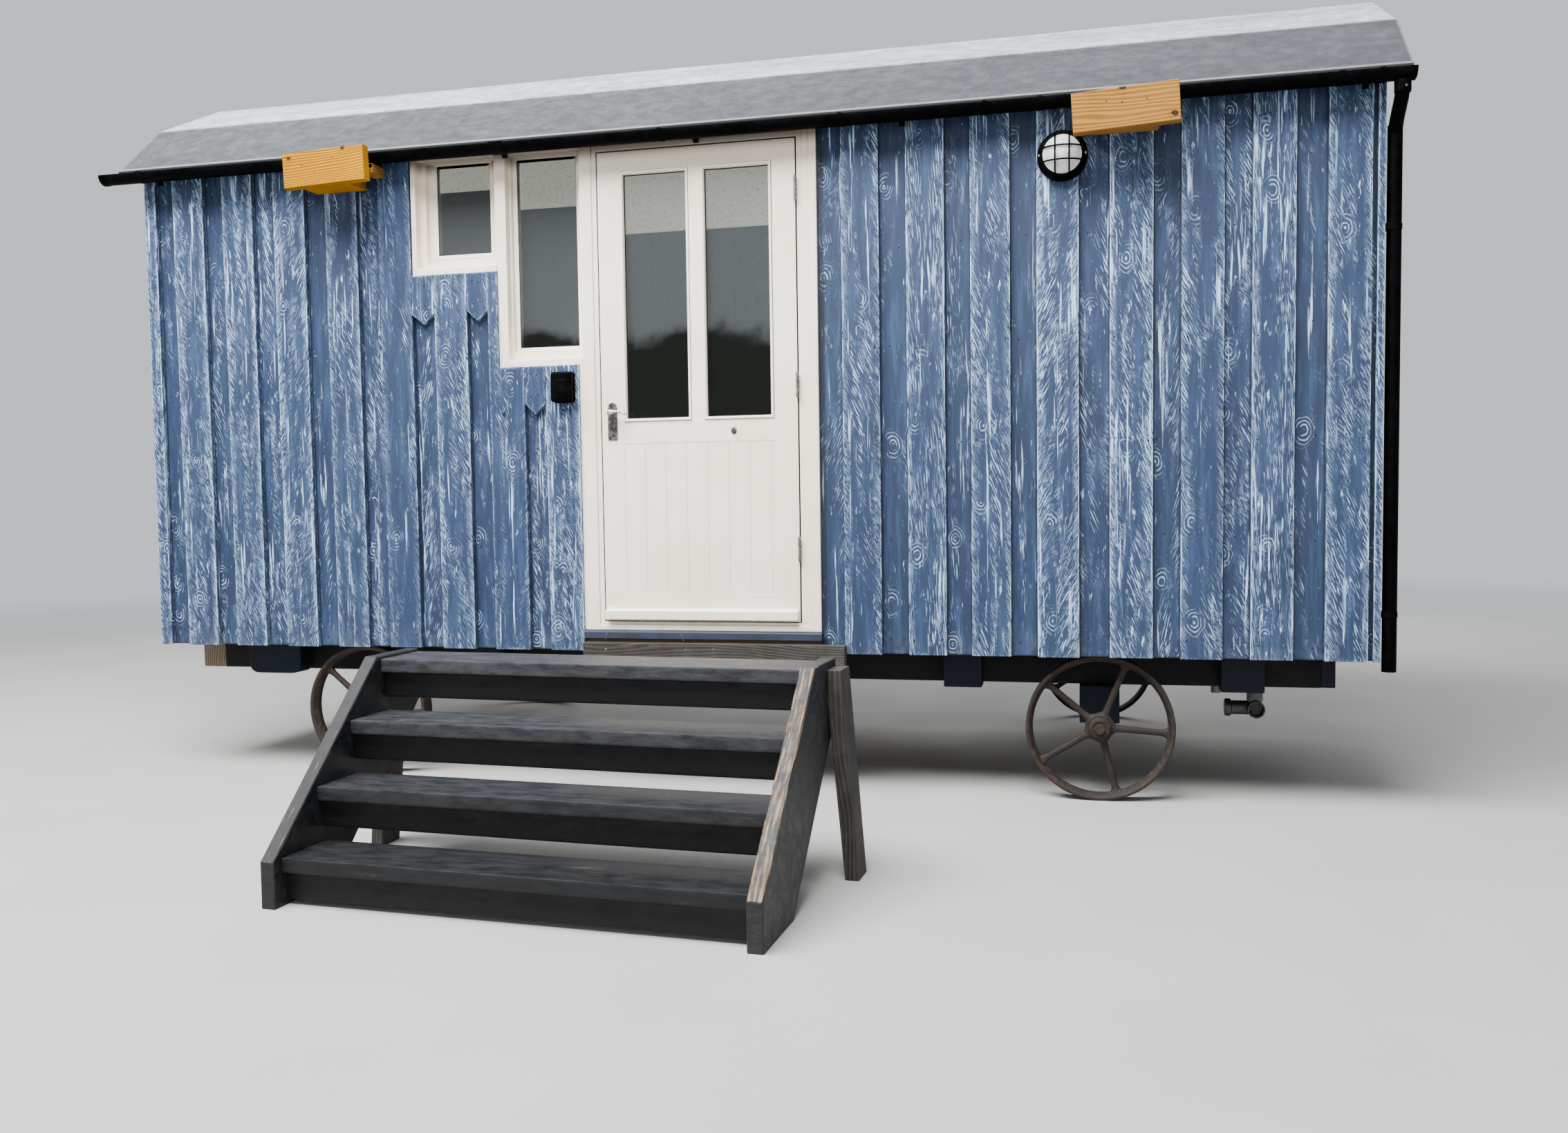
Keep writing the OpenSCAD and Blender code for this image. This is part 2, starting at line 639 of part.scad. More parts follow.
// Half round gutter with its end caps and brackets
gutter_x = [-gutter_over[0], hut_l + gutter_over[1]];
bracket_xs = [for (i = [0 : 6]) 84 + i * (hut_l - 168) / 6];
module half_disc(r) intersection() {
    translate([-gutter_out, gutter_z]) circle(r = r, $fn = 2 * fine);
    translate([-gutter_out - r, gutter_z - r]) square([2 * r, r]);
}
module gutter() {
    along_x(gutter_x[0], gutter_x[1]) difference() {
        half_disc(gutter_r);
        half_disc(gutter_r - plastic_t);
    }
    for (x = [gutter_x[0], gutter_x[1] - plastic_t]) along_x(x, x + plastic_t)
        half_disc(gutter_r);
    for (x = bracket_xs) along_x(x, x + 22) difference() {
        translate([-gutter_out, gutter_z - gutter_r]) square([gutter_out, gutter_r - 6]);
        half_disc(gutter_r - plastic_t);
    }
}
module gutters() color("#17181a") hut() both_sides() gutter();

// Downpipe: socket under the gutter, offset bend, straight pipe and clips
module pipe_run(d) {
    rod([pipe_x, -gutter_out, gutter_z - gutter_r - 6], [pipe_x, -gutter_out, bend_top], d);
    rod([pipe_x, -gutter_out, bend_top], [pipe_x, pipe_in, pipe_top], d);
    rod([pipe_x, pipe_in, pipe_top], [pipe_x, pipe_in, pipe_top - pipe_l], d);
    for (p = [[-gutter_out, bend_top], [pipe_in, pipe_top]]) translate([pipe_x, p[0], p[1]])
        sphere(d = d + 1, $fn = fine);
}
module downpipe() {
    difference() {
        union() {
            pipe_run(pipe_d);
            rod([pipe_x, -gutter_out, gutter_z - gutter_r], [pipe_x, -gutter_out, bend_top + 6],
                socket_d);
            rod([pipe_x, pipe_in, pipe_top], [pipe_x, pipe_in, pipe_top - 14], socket_d);
        }
        pipe_run(pipe_d - 2 * plastic_t);
        rod([pipe_x, pipe_in, pipe_top - pipe_l + eps], [pipe_x, pipe_in, pipe_top - pipe_l - eps],
            pipe_d - 2 * plastic_t);
    }
    for (z = [pipe_top - 260, pipe_top - pipe_l + 200]) difference() {
        union() {
            translate([pipe_x, pipe_in, z]) cylinder(d = socket_d, h = 24, $fn = fine);
            block([hut_l, pipe_in - 16, z], [pipe_x, pipe_in + 16, z + 24]);
        }
        translate([pipe_x, pipe_in, z - eps]) cylinder(d = pipe_d - eps, h = 24 + 2 * eps, $fn = fine);
    }
}
module downpipes() color("#232426") hut() both_sides() downpipe();

// Lifting timbers: a block on the wall with a plate across its end
module lifting_timbers() color("#b98d55") hut() for (i = [0, 1]) {
    block([lift_x[i], -lift_block[1] - eps, lift_z],
        [lift_x[i] + lift_block[0], 0, lift_z + lift_block[2]]);
    translate([lift_x[i] - lift_lap[i][0], -lift_block[1] - lift_plate[1], lift_z - lift_lap[i][1]])
        rotate([0, -lift_tilt[i], 0]) cube(lift_plate);
    if (i == 0) translate([lift_x[0] + lift_block[0] + lift_rail[0], -lift_rail[2], lift_z + lift_rail[3]])
        cube([lift_rail[1], lift_rail[2], lift_rail[4] - lift_rail[3]]);
}

// Chassis
module chassis_beams() color("#1f2226") hut() both_sides()
    block([end_timber_x1, beam_in, -beam_h], [hut_l - end_timber_x1, beam_in + beam_t, skirt]);
outriggers = [[345, 614], [1460, 1612], [3566, 3718], [4640, 4799]];
outrigger_l = 100;
end_timber_x0 = 25;
end_timber_x1 = 145;
module cross_timbers() color("#3c4a5c") hut() {
    both_sides() for (s = outriggers) along_y(beam_in - outrigger_l, beam_in)
        outrigger(s[0], s[1], s[1] - s[0] > 200 ? 30 : 0);
    for (x = [end_timber_x0, hut_l - end_timber_x1])
        block([x, beam_in - outrigger_l, -beam_h],
            [x + end_timber_x1 - end_timber_x0, hut_w - beam_in + outrigger_l, 0]);
}

// Side of an outrigger, with its lower corners rounded
module outrigger(x0, x1, r) difference() {
    rect(x0, -beam_h - 10, x1, skirt);
    if (r > 0) for (m = [0, 1]) translate([m == 0 ? x0 : x1, -beam_h - 10]) mirror([m, 0]) difference() {
        translate([-eps, -eps]) square(r + eps);
        translate([r, r]) circle(r = r, $fn = fine);
    }
}

// An axle with the bolster that sits on it
bolster_y = wheel_in + hub_l - hub_out + collar_l;
cap_y = wheel_in - hub_out;
module axle(x) {
    block([x - bolster_w / 2, bolster_y, axle_z], [x + bolster_w / 2, hut_w - bolster_y, -beam_h]);
    rod_y([x, cap_y, axle_z], axle_d, hut_w - 2 * cap_y);
    both_sides() rod_y([x, bolster_y - collar_l + side_gap, axle_z], axle_d + 22, collar_l - side_gap);
}
module axles() color("#22262c") hut() for (x = axle_xs) axle(x);
module wheel_cap() rotate([90, 0, 0]) {
    cylinder(d = cap_d, h = cap_t, $fn = fine);
    cylinder(d = bolt_d, h = cap_t + 12, $fn = fine);
}
module wheel_caps() color("#3b2c25") hut() both_sides() for (x = axle_xs)
    translate([x, cap_y, axle_z]) wheel_cap();

// Cast wheel about its own axle: its outer face is at Z = 0 and it reaches back to -Z
module wheel() {
    hub_r = hub_d / 2;
    hub_top = hub_out - side_gap;
    rim_in = wheel_r - rim_h;
    difference() {
        union() {
            rotate_extrude($fn = 96) polygon([[wheel_r, 0], [wheel_r, -rim_w],
                [wheel_r - 11, -rim_w], [wheel_r - 14, -rim_w * 0.66],
                [rim_in, -rim_w * 0.62], [rim_in, -rim_w * 0.38],
                [wheel_r - 14, -rim_w * 0.34], [wheel_r - 11, 0]]);
            rotate_extrude($fn = fine) polygon([[0, hub_top], [hub_r - 4, hub_top],
                [hub_r, hub_top - 4], [hub_r, -rim_w * 0.3], [hub_r + 12, -rim_w * 0.4],
                [hub_r + 12, -rim_w * 0.6], [hub_r, -rim_w * 0.7], [hub_r, hub_out - hub_l],
                [0, hub_out - hub_l]]);
            for (i = [0 : spokes - 1]) rotate([0, 0, -4 + i * 360 / spokes]) spoke(hub_r, rim_in);
        }
        translate([0, 0, -hub_l]) cylinder(d = axle_d + 2 * run_gap, h = hub_l + 20, $fn = fine);
    }
}
// Spoke of cross section: a tapered flat with a deeper rib along its middle
module spoke(hub_r, rim_in) {
    translate([0, 0, -rim_w * 0.58]) linear_extrude(rim_w * 0.16)
        polygon([[hub_r - 4, -spoke_w * 0.62], [rim_in + 4, -spoke_w / 2],
            [rim_in + 4, spoke_w / 2], [hub_r - 4, spoke_w * 0.62]]);
    rotate([90, 0, 0]) translate([0, 0, -5]) linear_extrude(10)
        polygon([[hub_r - 4, -rim_w * 0.18], [rim_in + 2, -rim_w * 0.36],
            [rim_in + 2, -rim_w * 0.64], [hub_r - 4, -rim_w * 0.82]]);
}
module placed_wheel(x) translate([x, wheel_in, axle_z]) rotate([90, 0, 0]) wheel();
module wheel_left_front() color("#6a4634") hut() placed_wheel(axle_xs[0]);
module wheel_right_front() color("#6a4634") hut() placed_wheel(axle_xs[1]);
module wheel_left_rear() color("#6a4634") hut() rear() placed_wheel(axle_xs[0]);
module wheel_right_rear() color("#6a4634") hut() rear() placed_wheel(axle_xs[1]);

// Waste pipe under the floor: a tee with its mouth to the front and a collared arm to the left
waste_at = [4778, 380];
waste_z = -212;
waste_arm = 118;
module waste_pipe() color("#8a8f94") hut() difference() {
    union() {
        rod([waste_at[0], waste_at[1], skirt], [waste_at[0], waste_at[1], waste_z], 44);
        rod([waste_at[0], waste_at[1] + 32, waste_z], [waste_at[0], waste_at[1] - 60, waste_z], 56);
        rod([waste_at[0], waste_at[1], waste_z], [waste_at[0] - waste_arm, waste_at[1], waste_z], 50);
        rod([waste_at[0] - waste_arm, waste_at[1], waste_z],
            [waste_at[0] - waste_arm - 20, waste_at[1], waste_z], 60);
    }
    rod([waste_at[0], waste_at[1] - 10, waste_z], [waste_at[0], waste_at[1] - 61, waste_z], 48);
}

// Steps: treads between two stringers, with boards below the treads and splayed back legs
module steps() on_ground() translate([steps_at[0], steps_at[1], 0]) rotate([0, 0, steps_turn])
    children();
stringer_back = 232;
module stringer_side() polygon([[(10 - 27 * step_slope) / step_slope, step_top + 10],
    [stringer_back, step_top + 10], [stringer_back, step_top - rise + 10],
    [stringer_back - (step_top - rise + 10) / step_slope, 0], [-step_foot, 0],
    [-step_foot, step_top + 10 - step_slope * (step_foot - 17)]]);
module step_stringers() color("#5a5f64") steps() {
    along_x(-stringer_t, 0) stringer_side();
    along_x(tread_l, tread_l + stringer_t) stringer_side();
}
module step_treads() color("#5a5f64") steps() for (i = [0 : treads - 1])
    block([0, -i * going, step_top - i * rise - tread_t],
        [tread_l, -i * going + (i == 0 ? top_tread_d : tread_d), step_top - i * rise]);
module step_risers() color("#4d5257") steps() for (i = [0 : treads - 1])
    let (top = step_top - i * rise - tread_t, drop = min(riser_h, top - 8))
    block([0, -i * going + 25, top - drop], [tread_l, -i * going + 25 + riser_t, top]);
module leg_side() polygon([[0, step_top - 15], [leg_size[1], step_top - 15],
    [leg_size[1] + leg_splay, 0], [leg_splay, 0], [0, step_top - 118]]);
module step_legs() color("#8a7358") steps() {
    translate([tread_l + stringer_t, 0, 0]) along_y(stringer_back - leg_size[0], stringer_back) leg_side();
    translate([-stringer_t, 0, 0]) mirror([1, 0, 0])
        along_y(stringer_back - leg_size[0], stringer_back) leg_side();
}

floor_deck();  // floor
front_wall_left();
front_wall_under_windows();
front_wall_head();
front_wall_right();
rear_wall();
end_walls();
front_cladding();
rear_cladding();
end_cladding();
roof();
window_surround();
window_glass();
window_blinds();
door_frame();
door_sill();
ledger_board();
door_leaf();
door_glass();
door_blinds();
door_hinges();
frame_hinges();
handle_plate();
door_lever();
door_eye();
cabin_hook();
cabin_hook_eye();
key_safe();
bulkhead_light();
gutters();
downpipes();
lifting_timbers();
chassis_beams();
cross_timbers();
axles();
wheel_caps();
wheel_left_front();
wheel_left_rear();
wheel_right_front();
wheel_right_rear();
waste_pipe();
step_stringers();
step_treads();
step_risers();
step_legs();
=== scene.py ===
from math import cos, pi, radians, sin, tan

import bpy
import numpy as np
from mathutils import Matrix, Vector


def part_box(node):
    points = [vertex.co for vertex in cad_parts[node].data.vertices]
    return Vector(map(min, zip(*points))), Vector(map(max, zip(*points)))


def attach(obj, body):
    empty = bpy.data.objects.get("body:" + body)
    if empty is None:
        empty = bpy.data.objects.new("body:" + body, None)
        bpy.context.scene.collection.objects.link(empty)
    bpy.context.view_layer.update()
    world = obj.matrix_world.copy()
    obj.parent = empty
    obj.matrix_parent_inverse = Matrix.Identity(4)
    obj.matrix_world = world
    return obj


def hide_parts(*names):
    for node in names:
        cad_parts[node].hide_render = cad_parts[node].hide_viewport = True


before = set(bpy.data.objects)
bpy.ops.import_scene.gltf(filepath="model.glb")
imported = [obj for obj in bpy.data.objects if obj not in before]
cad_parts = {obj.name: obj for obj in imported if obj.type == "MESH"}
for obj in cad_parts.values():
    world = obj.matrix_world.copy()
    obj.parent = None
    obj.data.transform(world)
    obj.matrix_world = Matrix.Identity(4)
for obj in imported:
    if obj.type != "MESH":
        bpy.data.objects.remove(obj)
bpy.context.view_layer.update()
rng = np.random.default_rng(41)

# All shapes are worked out in millimetres of the hut: X from its left corner, Y back from the face of the
# proud boards, Z up from the boards' lower ends. The floor deck's lowest corner is at DECK_CORNER there.
MM = 0.001
DECK_CORNER = np.array([45.0, 45.0, 0.0])
DECK_LOW = np.array(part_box("floor")[0])
GROUND = -568.0
HUT_L, HUT_W = 5180.0, 2130.0
X, Y, Z = np.eye(3)

# ---------------------------------------------------------------- shapes

PLAIN = (0.5, 1.0, 0.0, 0.5)
WEAR_REACH = 9.0
GRAIN_JUMP = 1370.0
NAIL = [(3.0, -1.0), (3.0, 0.1), (2.0, 0.5)]
SCREW = [(4.2, -1.0), (4.2, 0.3), (3.2, 0.9), (1.2, 0.9), (1.0, 0.2)]


def array(values):
    return np.asarray(values, float)


def to_scene(points):
    """Hut millimetres to the frame's metres."""
    return (array(points) - DECK_CORNER) * MM + DECK_LOW


def rear(points):
    """The same points on the rear side of the hut: Y runs back from the rear face."""
    return array(points) * [1, -1, 1] + [0, HUT_W, 0]


def unit(v):
    v = array(v)
    return v / np.linalg.norm(v, axis=-1, keepdims=True)


def round_angles(n):
    return np.arange(n) * 2 * pi / n


def travelled(points, closed=False):
    """Length along a line of points up to each of them, and back to the first if it is closed."""
    points = array(points)
    if closed:
        points = np.concatenate([points, points[:1]])
    steps = np.linalg.norm(np.diff(points, axis=0), axis=1)
    return np.concatenate([[0.0], np.cumsum(steps)])


def grown(outline, by):
    """A closed plane outline with each corner moved out by `by` along its mitre: the sum of the two sides'
    outward normals over one plus their product."""
    p = array(outline)
    after = np.roll(p, -1, 0)
    turn = np.sign(np.sum(p[:, 0] * after[:, 1] - p[:, 1] * after[:, 0]))
    side = unit(after - p)
    out = np.stack([side[:, 1], -side[:, 0]], 1) * turn
    before = np.roll(out, 1, 0)
    return p + (out + before) / (1 + (out * before).sum(1, keepdims=True)) * by


def rounded(points, radius, steps=6, closed=False):
    """A line with its corners rounded: each corner becomes the curve (1-t)^2 a + 2 t (1-t) corner + t^2 b,
    where a and b lie `radius` before and after it."""
    p = array(points)
    radius = np.broadcast_to(radius, len(p))
    t = np.linspace(0, 1, steps + 1)[:, None]
    made = []
    for i, corner in enumerate(p):
        if not closed and i in (0, len(p) - 1):
            made.append(corner[None])
            continue
        a, b = (corner + unit(other - corner) * min(radius[i], 0.49 * np.linalg.norm(other - corner))
                for other in (p[i - 1], p[(i + 1) % len(p)]))
        made.append((1 - t) ** 2 * a + 2 * t * (1 - t) * corner + t**2 * b)
    return np.concatenate(made)


def arc(centre, radius, first, last, n):
    """n points of a plane circle between two angles in degrees."""
    a = np.radians(np.linspace(first, last, n))
    return array(centre) + radius * np.stack([np.cos(a), np.sin(a)], 1)


def box_outline(x0, z0, x1, z1):
    return array([[x0, z0], [x1, z0], [x1, z1], [x0, z1]])


def in_wall(y, hand=1):
    """For a slab: its plane stands like the front wall with its face at y."""
    return lambda p, q, d: np.stack([p, y + hand * d, q], -1)


def endways(x):
    """For a slab: its plane stands across the hut with its face at x."""
    return lambda p, q, d: np.stack([x + d, p, q], -1)


def wrap(across, along):
    """UV of a surface whose profile is `across` millimetres round and whose stations are `along`."""
    return np.stack(np.meshgrid(across, along), -1) * MM


def cells(n, m):
    """Row and column of every cell of a grid."""
    return (a.ravel() for a in np.meshgrid(np.arange(n), np.arange(m), indexing="ij"))


class Piece:
    """Gathers surfaces into one mesh. Each surface is a grid of points: grid[i, j] is place j of the profile
    at station i. Next to its UV, in metres of the surface, a point carries "board", which tells one board
    from another (tone, hand and middle of the saw marks, amount of wear), and "edge", 1 on an arris. `turn`
    is done to all points: rear puts a surface on the hut's other side."""

    def __init__(self):
        self.points, self.faces, self.uvs, self.boards, self.edges, self.kinds = ([] for _ in range(6))
        self.count, self.turn = 0, array

    def skin(self, grid, uv, closed=True, loop=False, even=False, board=PLAIN, edge=0.0, kind=0):
        """`even` lets the caps keep the UV of their rings, where these lie in one plane's coordinates."""
        grid = self.turn(grid)
        n, m = grid.shape[:2]
        points = grid.reshape(-1, 3)
        i, j = cells(n - (not loop), m - (not closed))
        i2, j2 = (i + 1) % n, (j + 1) % m
        quads = np.stack([i * m + j, i * m + j2, i2 * m + j2, i2 * m + j], 1)
        faces = [*quads]
        uvs = [*np.stack([uv[i, j], uv[i, j + 1], uv[i + 1, j + 1], uv[i + 1, j]], 1)]
        if closed and not loop:
            for ring in (np.arange(m)[::-1], (n - 1) * m + np.arange(m)):
                place = points[ring]
                wide = np.sort(np.argsort(-np.ptp(place, axis=0), kind="stable")[:2])
                faces.append(ring)
                uvs.append(uv[ring // m, ring % m] if even else (place[:, wide] - place.mean(0)[wide]) * MM)
        middle = points.mean(0)
        a, b, c, d = ((points[quads[:, k]] - middle) for k in range(4))
        volume = np.sum(a * (np.cross(b, c) + np.cross(c, d)))
        for ring in faces[len(quads):]:
            p = points[ring] - middle
            volume += np.sum(p[0] * np.cross(p[1:-1], p[2:]))
        if volume < 0:
            faces, uvs = [f[::-1] for f in faces], [u[::-1] for u in uvs]
        self.faces += [f + self.count for f in faces]
        self.kinds += [kind] * len(faces)
        self.uvs += uvs
        self.points.append(points)
        self.boards.append(np.broadcast_to(array(board), (len(points), 4)))
        self.edges.append(np.broadcast_to(edge, (n, m)).ravel())
        self.count += len(points)

    def finish(self, name, *materials, stands_for=None, body="hut", slot=None, sharp=32):
        """The mesh's object. slot is not used."""
        mesh = bpy.data.meshes.new(name)
        mesh.from_pydata(to_scene(np.concatenate(self.points)).tolist(), [], [f.tolist() for f in self.faces])
        layer = mesh.uv_layers.new(name="grain")
        layer.data.foreach_set("uv", np.concatenate(self.uvs).ravel().astype("f4"))
        for label, kind, key, values in (("board", "FLOAT_COLOR", "color", self.boards),
                                         ("edge", "FLOAT", "value", self.edges)):
            attribute = mesh.attributes.new(label, kind, "POINT")
            attribute.data.foreach_set(key, np.concatenate(values).ravel().astype("f4"))
        for material in materials:
            mesh.materials.append(material)
        mesh.polygons.foreach_set("material_index", np.array(self.kinds, "i4"))
        mesh.shade_smooth()
        mesh.set_sharp_from_angle(angle=radians(sharp))
        mesh.update()
        obj = bpy.data.objects.new(name, mesh)
        bpy.context.scene.collection.objects.link(obj)
        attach(obj, body)
        if stands_for:
            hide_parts(stands_for)
        return obj


def timber(piece, start, along, out, length, width, thick, arris=1.6, board=PLAIN, wave=0.0, kind=0,
           reach=WEAR_REACH):
    """A sawn length: a rectangle with quarter-round arrises, and points `reach` inside them where their wear
    ends, carried from start along a line. `start` is the middle of its outer face's end; `out` points away
    from that face. Slow sine waves, `wave` mm high, take the faces off straight, and the ends are eased as
    well."""
    h, t = width / 2, thick / 2
    arris = min(arris, 0.3 * h, 0.3 * t)
    kx, ky = h - min(reach, 0.35 * width), t - min(WEAR_REACH, 0.35 * thick)
    section, worn = [], []
    for first, sx, sy, way in ((90, -1, 1, 1), (180, -1, -1, -1), (270, 1, -1, 1), (0, 1, 1, -1)):
        before, after = [(sx * kx, sy * t), (sx * h, sy * ky)][::way]
        section += [before, *arc([sx * (h - arris), sy * (t - arris)], arris, first, first + 90, 3), after]
        worn += [0, 1, 1, 1, 0]
    section = array(section)
    across = travelled(section, True)
    across -= across[len(section) // 2] + kx
    end = 10
    if length > 3 * end:
        inner = [*np.arange(end, length - end, max(60.0, length / 40)), length - end]
    else:
        inner = [length / 2]
    s = array([0, arris, *inner, length - arris, length])
    shrink, ends = np.zeros(len(s)), np.zeros(len(s))
    shrink[[0, -1]] = arris
    ends[[0, 1, -2, -1]] = 0.35
    f = rng.uniform(0, 2 * pi, 4)
    sway = wave * (np.sin(s / 410 + f[0]) + 0.5 * np.sin(s / 137 + f[1]))
    lift = wave * 0.5 * (np.sin(s / 350 + f[2]) + 0.5 * np.sin(s / 120 + f[3]))
    a = section[:, 0] * (1 - shrink / h)[:, None] + sway[:, None]
    b = section[:, 1] * (1 - shrink / t)[:, None] + lift[:, None]
    along, out = unit(along), unit(out)
    grid = (array(start) + s[:, None, None] * along + a[..., None] * np.cross(along, out)
            - (b + t)[..., None] * out)
    piece.skin(grid, wrap(across, s + rng.integers(0, 40) * GRAIN_JUMP), board=board,
               edge=np.maximum(worn, ends[:, None]), kind=kind)


def slab(piece, outline, place, thick, arris=1.6, board=PLAIN, grain=(0.0, 1.0), kind=0, rubbed=None):
    """A flat piece with a plane outline: rings of the outline, inset at both faces by an eased arris and by
    WEAR_REACH more where its wear ends. place(p, q, depth) turns the plane's coordinates into hut points;
    `grain` is the grain's direction in the plane. `rubbed` gives the wear at each corner of the outline, over
    its whole edge."""
    outline = array(outline)
    arris = min(arris, 0.3 * thick)
    rings = [(-WEAR_REACH - arris, 0, 0), (-arris, 0, 1), (0, arris, 1)]
    if thick > 24:
        rings += [(0, arris + 8, 0), (0, thick - arris - 8, 0)]
    rings = array(rings + [(0, thick - arris, 1), (-arris, thick, 1), (-WEAR_REACH - arris, thick, 0)])
    flat = np.stack([grown(outline, by) for by in rings[:, 0]])
    depth = rings[:, 1:2] + np.zeros(len(outline))
    g = unit(grain)
    off = flat - outline.mean(0)
    u = off[..., 0] * g[1] - off[..., 1] * g[0] + depth
    v = flat @ g + rng.integers(0, 40) * GRAIN_JUMP
    uv = np.stack([u, v], -1) * MM
    worn = rings[:, 2:]
    if rubbed is not None:
        worn = array(rubbed) * array([0, *[1] * (len(rings) - 2), 0])[:, None]
    piece.skin(place(flat[..., 0], flat[..., 1], depth), np.concatenate([uv, uv[:, :1]], 1), board=board,
               edge=worn, kind=kind, even=True)


def moulding(piece, outline, section):
    """A section of (out, depth) points carried round a closed outline in the plane of the wall, mitred at
    each corner."""
    outline, section = array(outline), array(section)
    mitre = grown(outline, 1.0) - outline
    flat = outline[:, None] + mitre[:, None] * section[:, :1]
    depth = np.broadcast_to(section[:, 1], flat.shape[:2])
    grid = np.stack([flat[..., 0], depth, flat[..., 1]], -1)
    piece.skin(grid, wrap(travelled(section, True), travelled(outline, True)), loop=True)


def turned(piece, centre, axis, profile, n=48, ring=False, lobes=None, start=None):
    """A profile of (radius, height) points turned about an axis. A ring's profile is closed; otherwise flat
    ends close it. lobes(angle) times the radius gives a round that isn't a circle."""
    profile = array(profile)
    axis = unit(axis)
    side = unit(start if start is not None else np.cross(axis, X if abs(axis[0]) < 0.9 else Y))
    angle = round_angles(n)
    r = profile[:, :1] * (lobes(angle) if lobes else np.ones(n))
    grid = (array(centre) + (r * np.cos(angle))[..., None] * side
            + (r * np.sin(angle))[..., None] * np.cross(axis, side) + profile[:, 1:, None] * axis)
    piece.skin(grid, wrap(np.arange(n + 1) * 2 * pi / n * profile[:, 0].max(), travelled(profile, ring)),
               loop=ring)


def hexagon(angle):
    """How far a six-sided head reaches at an angle: one over the cosine of the angle from the middle of the
    nearest flat, made a little smaller."""
    return 1 / np.cos((angle + pi / 6) % (pi / 3) - pi / 6) * 0.95


def tube(piece, path, radius, n=12, ref=Z, closed=False, flat=1.0):
    """A round section carried along a path: at each point it stands square to the path's direction. `flat`
    squeezes it along the second cross direction."""
    path = array(path)
    run = np.roll(path, -1, 0) - np.roll(path, 1, 0) if closed else np.gradient(path, axis=0)
    side = unit(np.cross(run, ref))
    other = unit(np.cross(run, side))
    angle = round_angles(n)[:, None]
    r = np.broadcast_to(radius, len(path))[:, None, None]
    grid = path[:, None] + r * (np.cos(angle) * side[:, None] + flat * np.sin(angle) * other[:, None])
    across = np.arange(n + 1) * 2 * pi / n * np.max(radius)
    piece.skin(grid, wrap(across, travelled(path, closed)), loop=closed)


def sweep(piece, section, stations, upright=False, rise=0.0, edge=0.0):
    """A closed section carried through stations: of (y, z) points along X, or upright of (x, y) points along
    Z. `rise` is added to its second coordinate."""
    section, stations = array(section), array(stations)
    shape = len(stations), len(section)
    a, b = np.broadcast_to(section[:, 0], shape), np.broadcast_to(section[:, 1] + rise, shape)
    s = np.broadcast_to(stations[:, None], shape)
    piece.skin(np.stack([a, b, s] if upright else [s, a, b], -1), wrap(travelled(section, True), stations),
               edge=edge)


def dots(piece, places, axis, profile, n=8):
    """The same small turned head, of a nail or a screw, at many places."""
    for place in places:
        turned(piece, place, axis, profile, n)


# ---------------------------------------------------------------- finishes


class Value:
    """What a node gives. Sums, differences and products of values become Math nodes."""

    def __init__(self, tree, socket):
        self.tree, self.socket = tree, socket

    def __add__(self, other):
        return self.tree.maths("ADD", self, other)

    def __sub__(self, other):
        return self.tree.maths("SUBTRACT", self, other)

    def __rsub__(self, other):
        return self.tree.maths("SUBTRACT", other, self)

    def __mul__(self, other):
        return self.tree.maths("MULTIPLY", self, other)


def paint(colour):
    """A colour given as display values from 0 to 255, as the shader wants it. A node's value stays."""
    if isinstance(colour, Value):
        return colour
    c = np.array(colour) / 255.0
    c = np.where(c <= 0.04045, c / 12.92, ((c + 0.055) / 1.055) ** 2.4)
    return (*c.tolist(), 1.0)


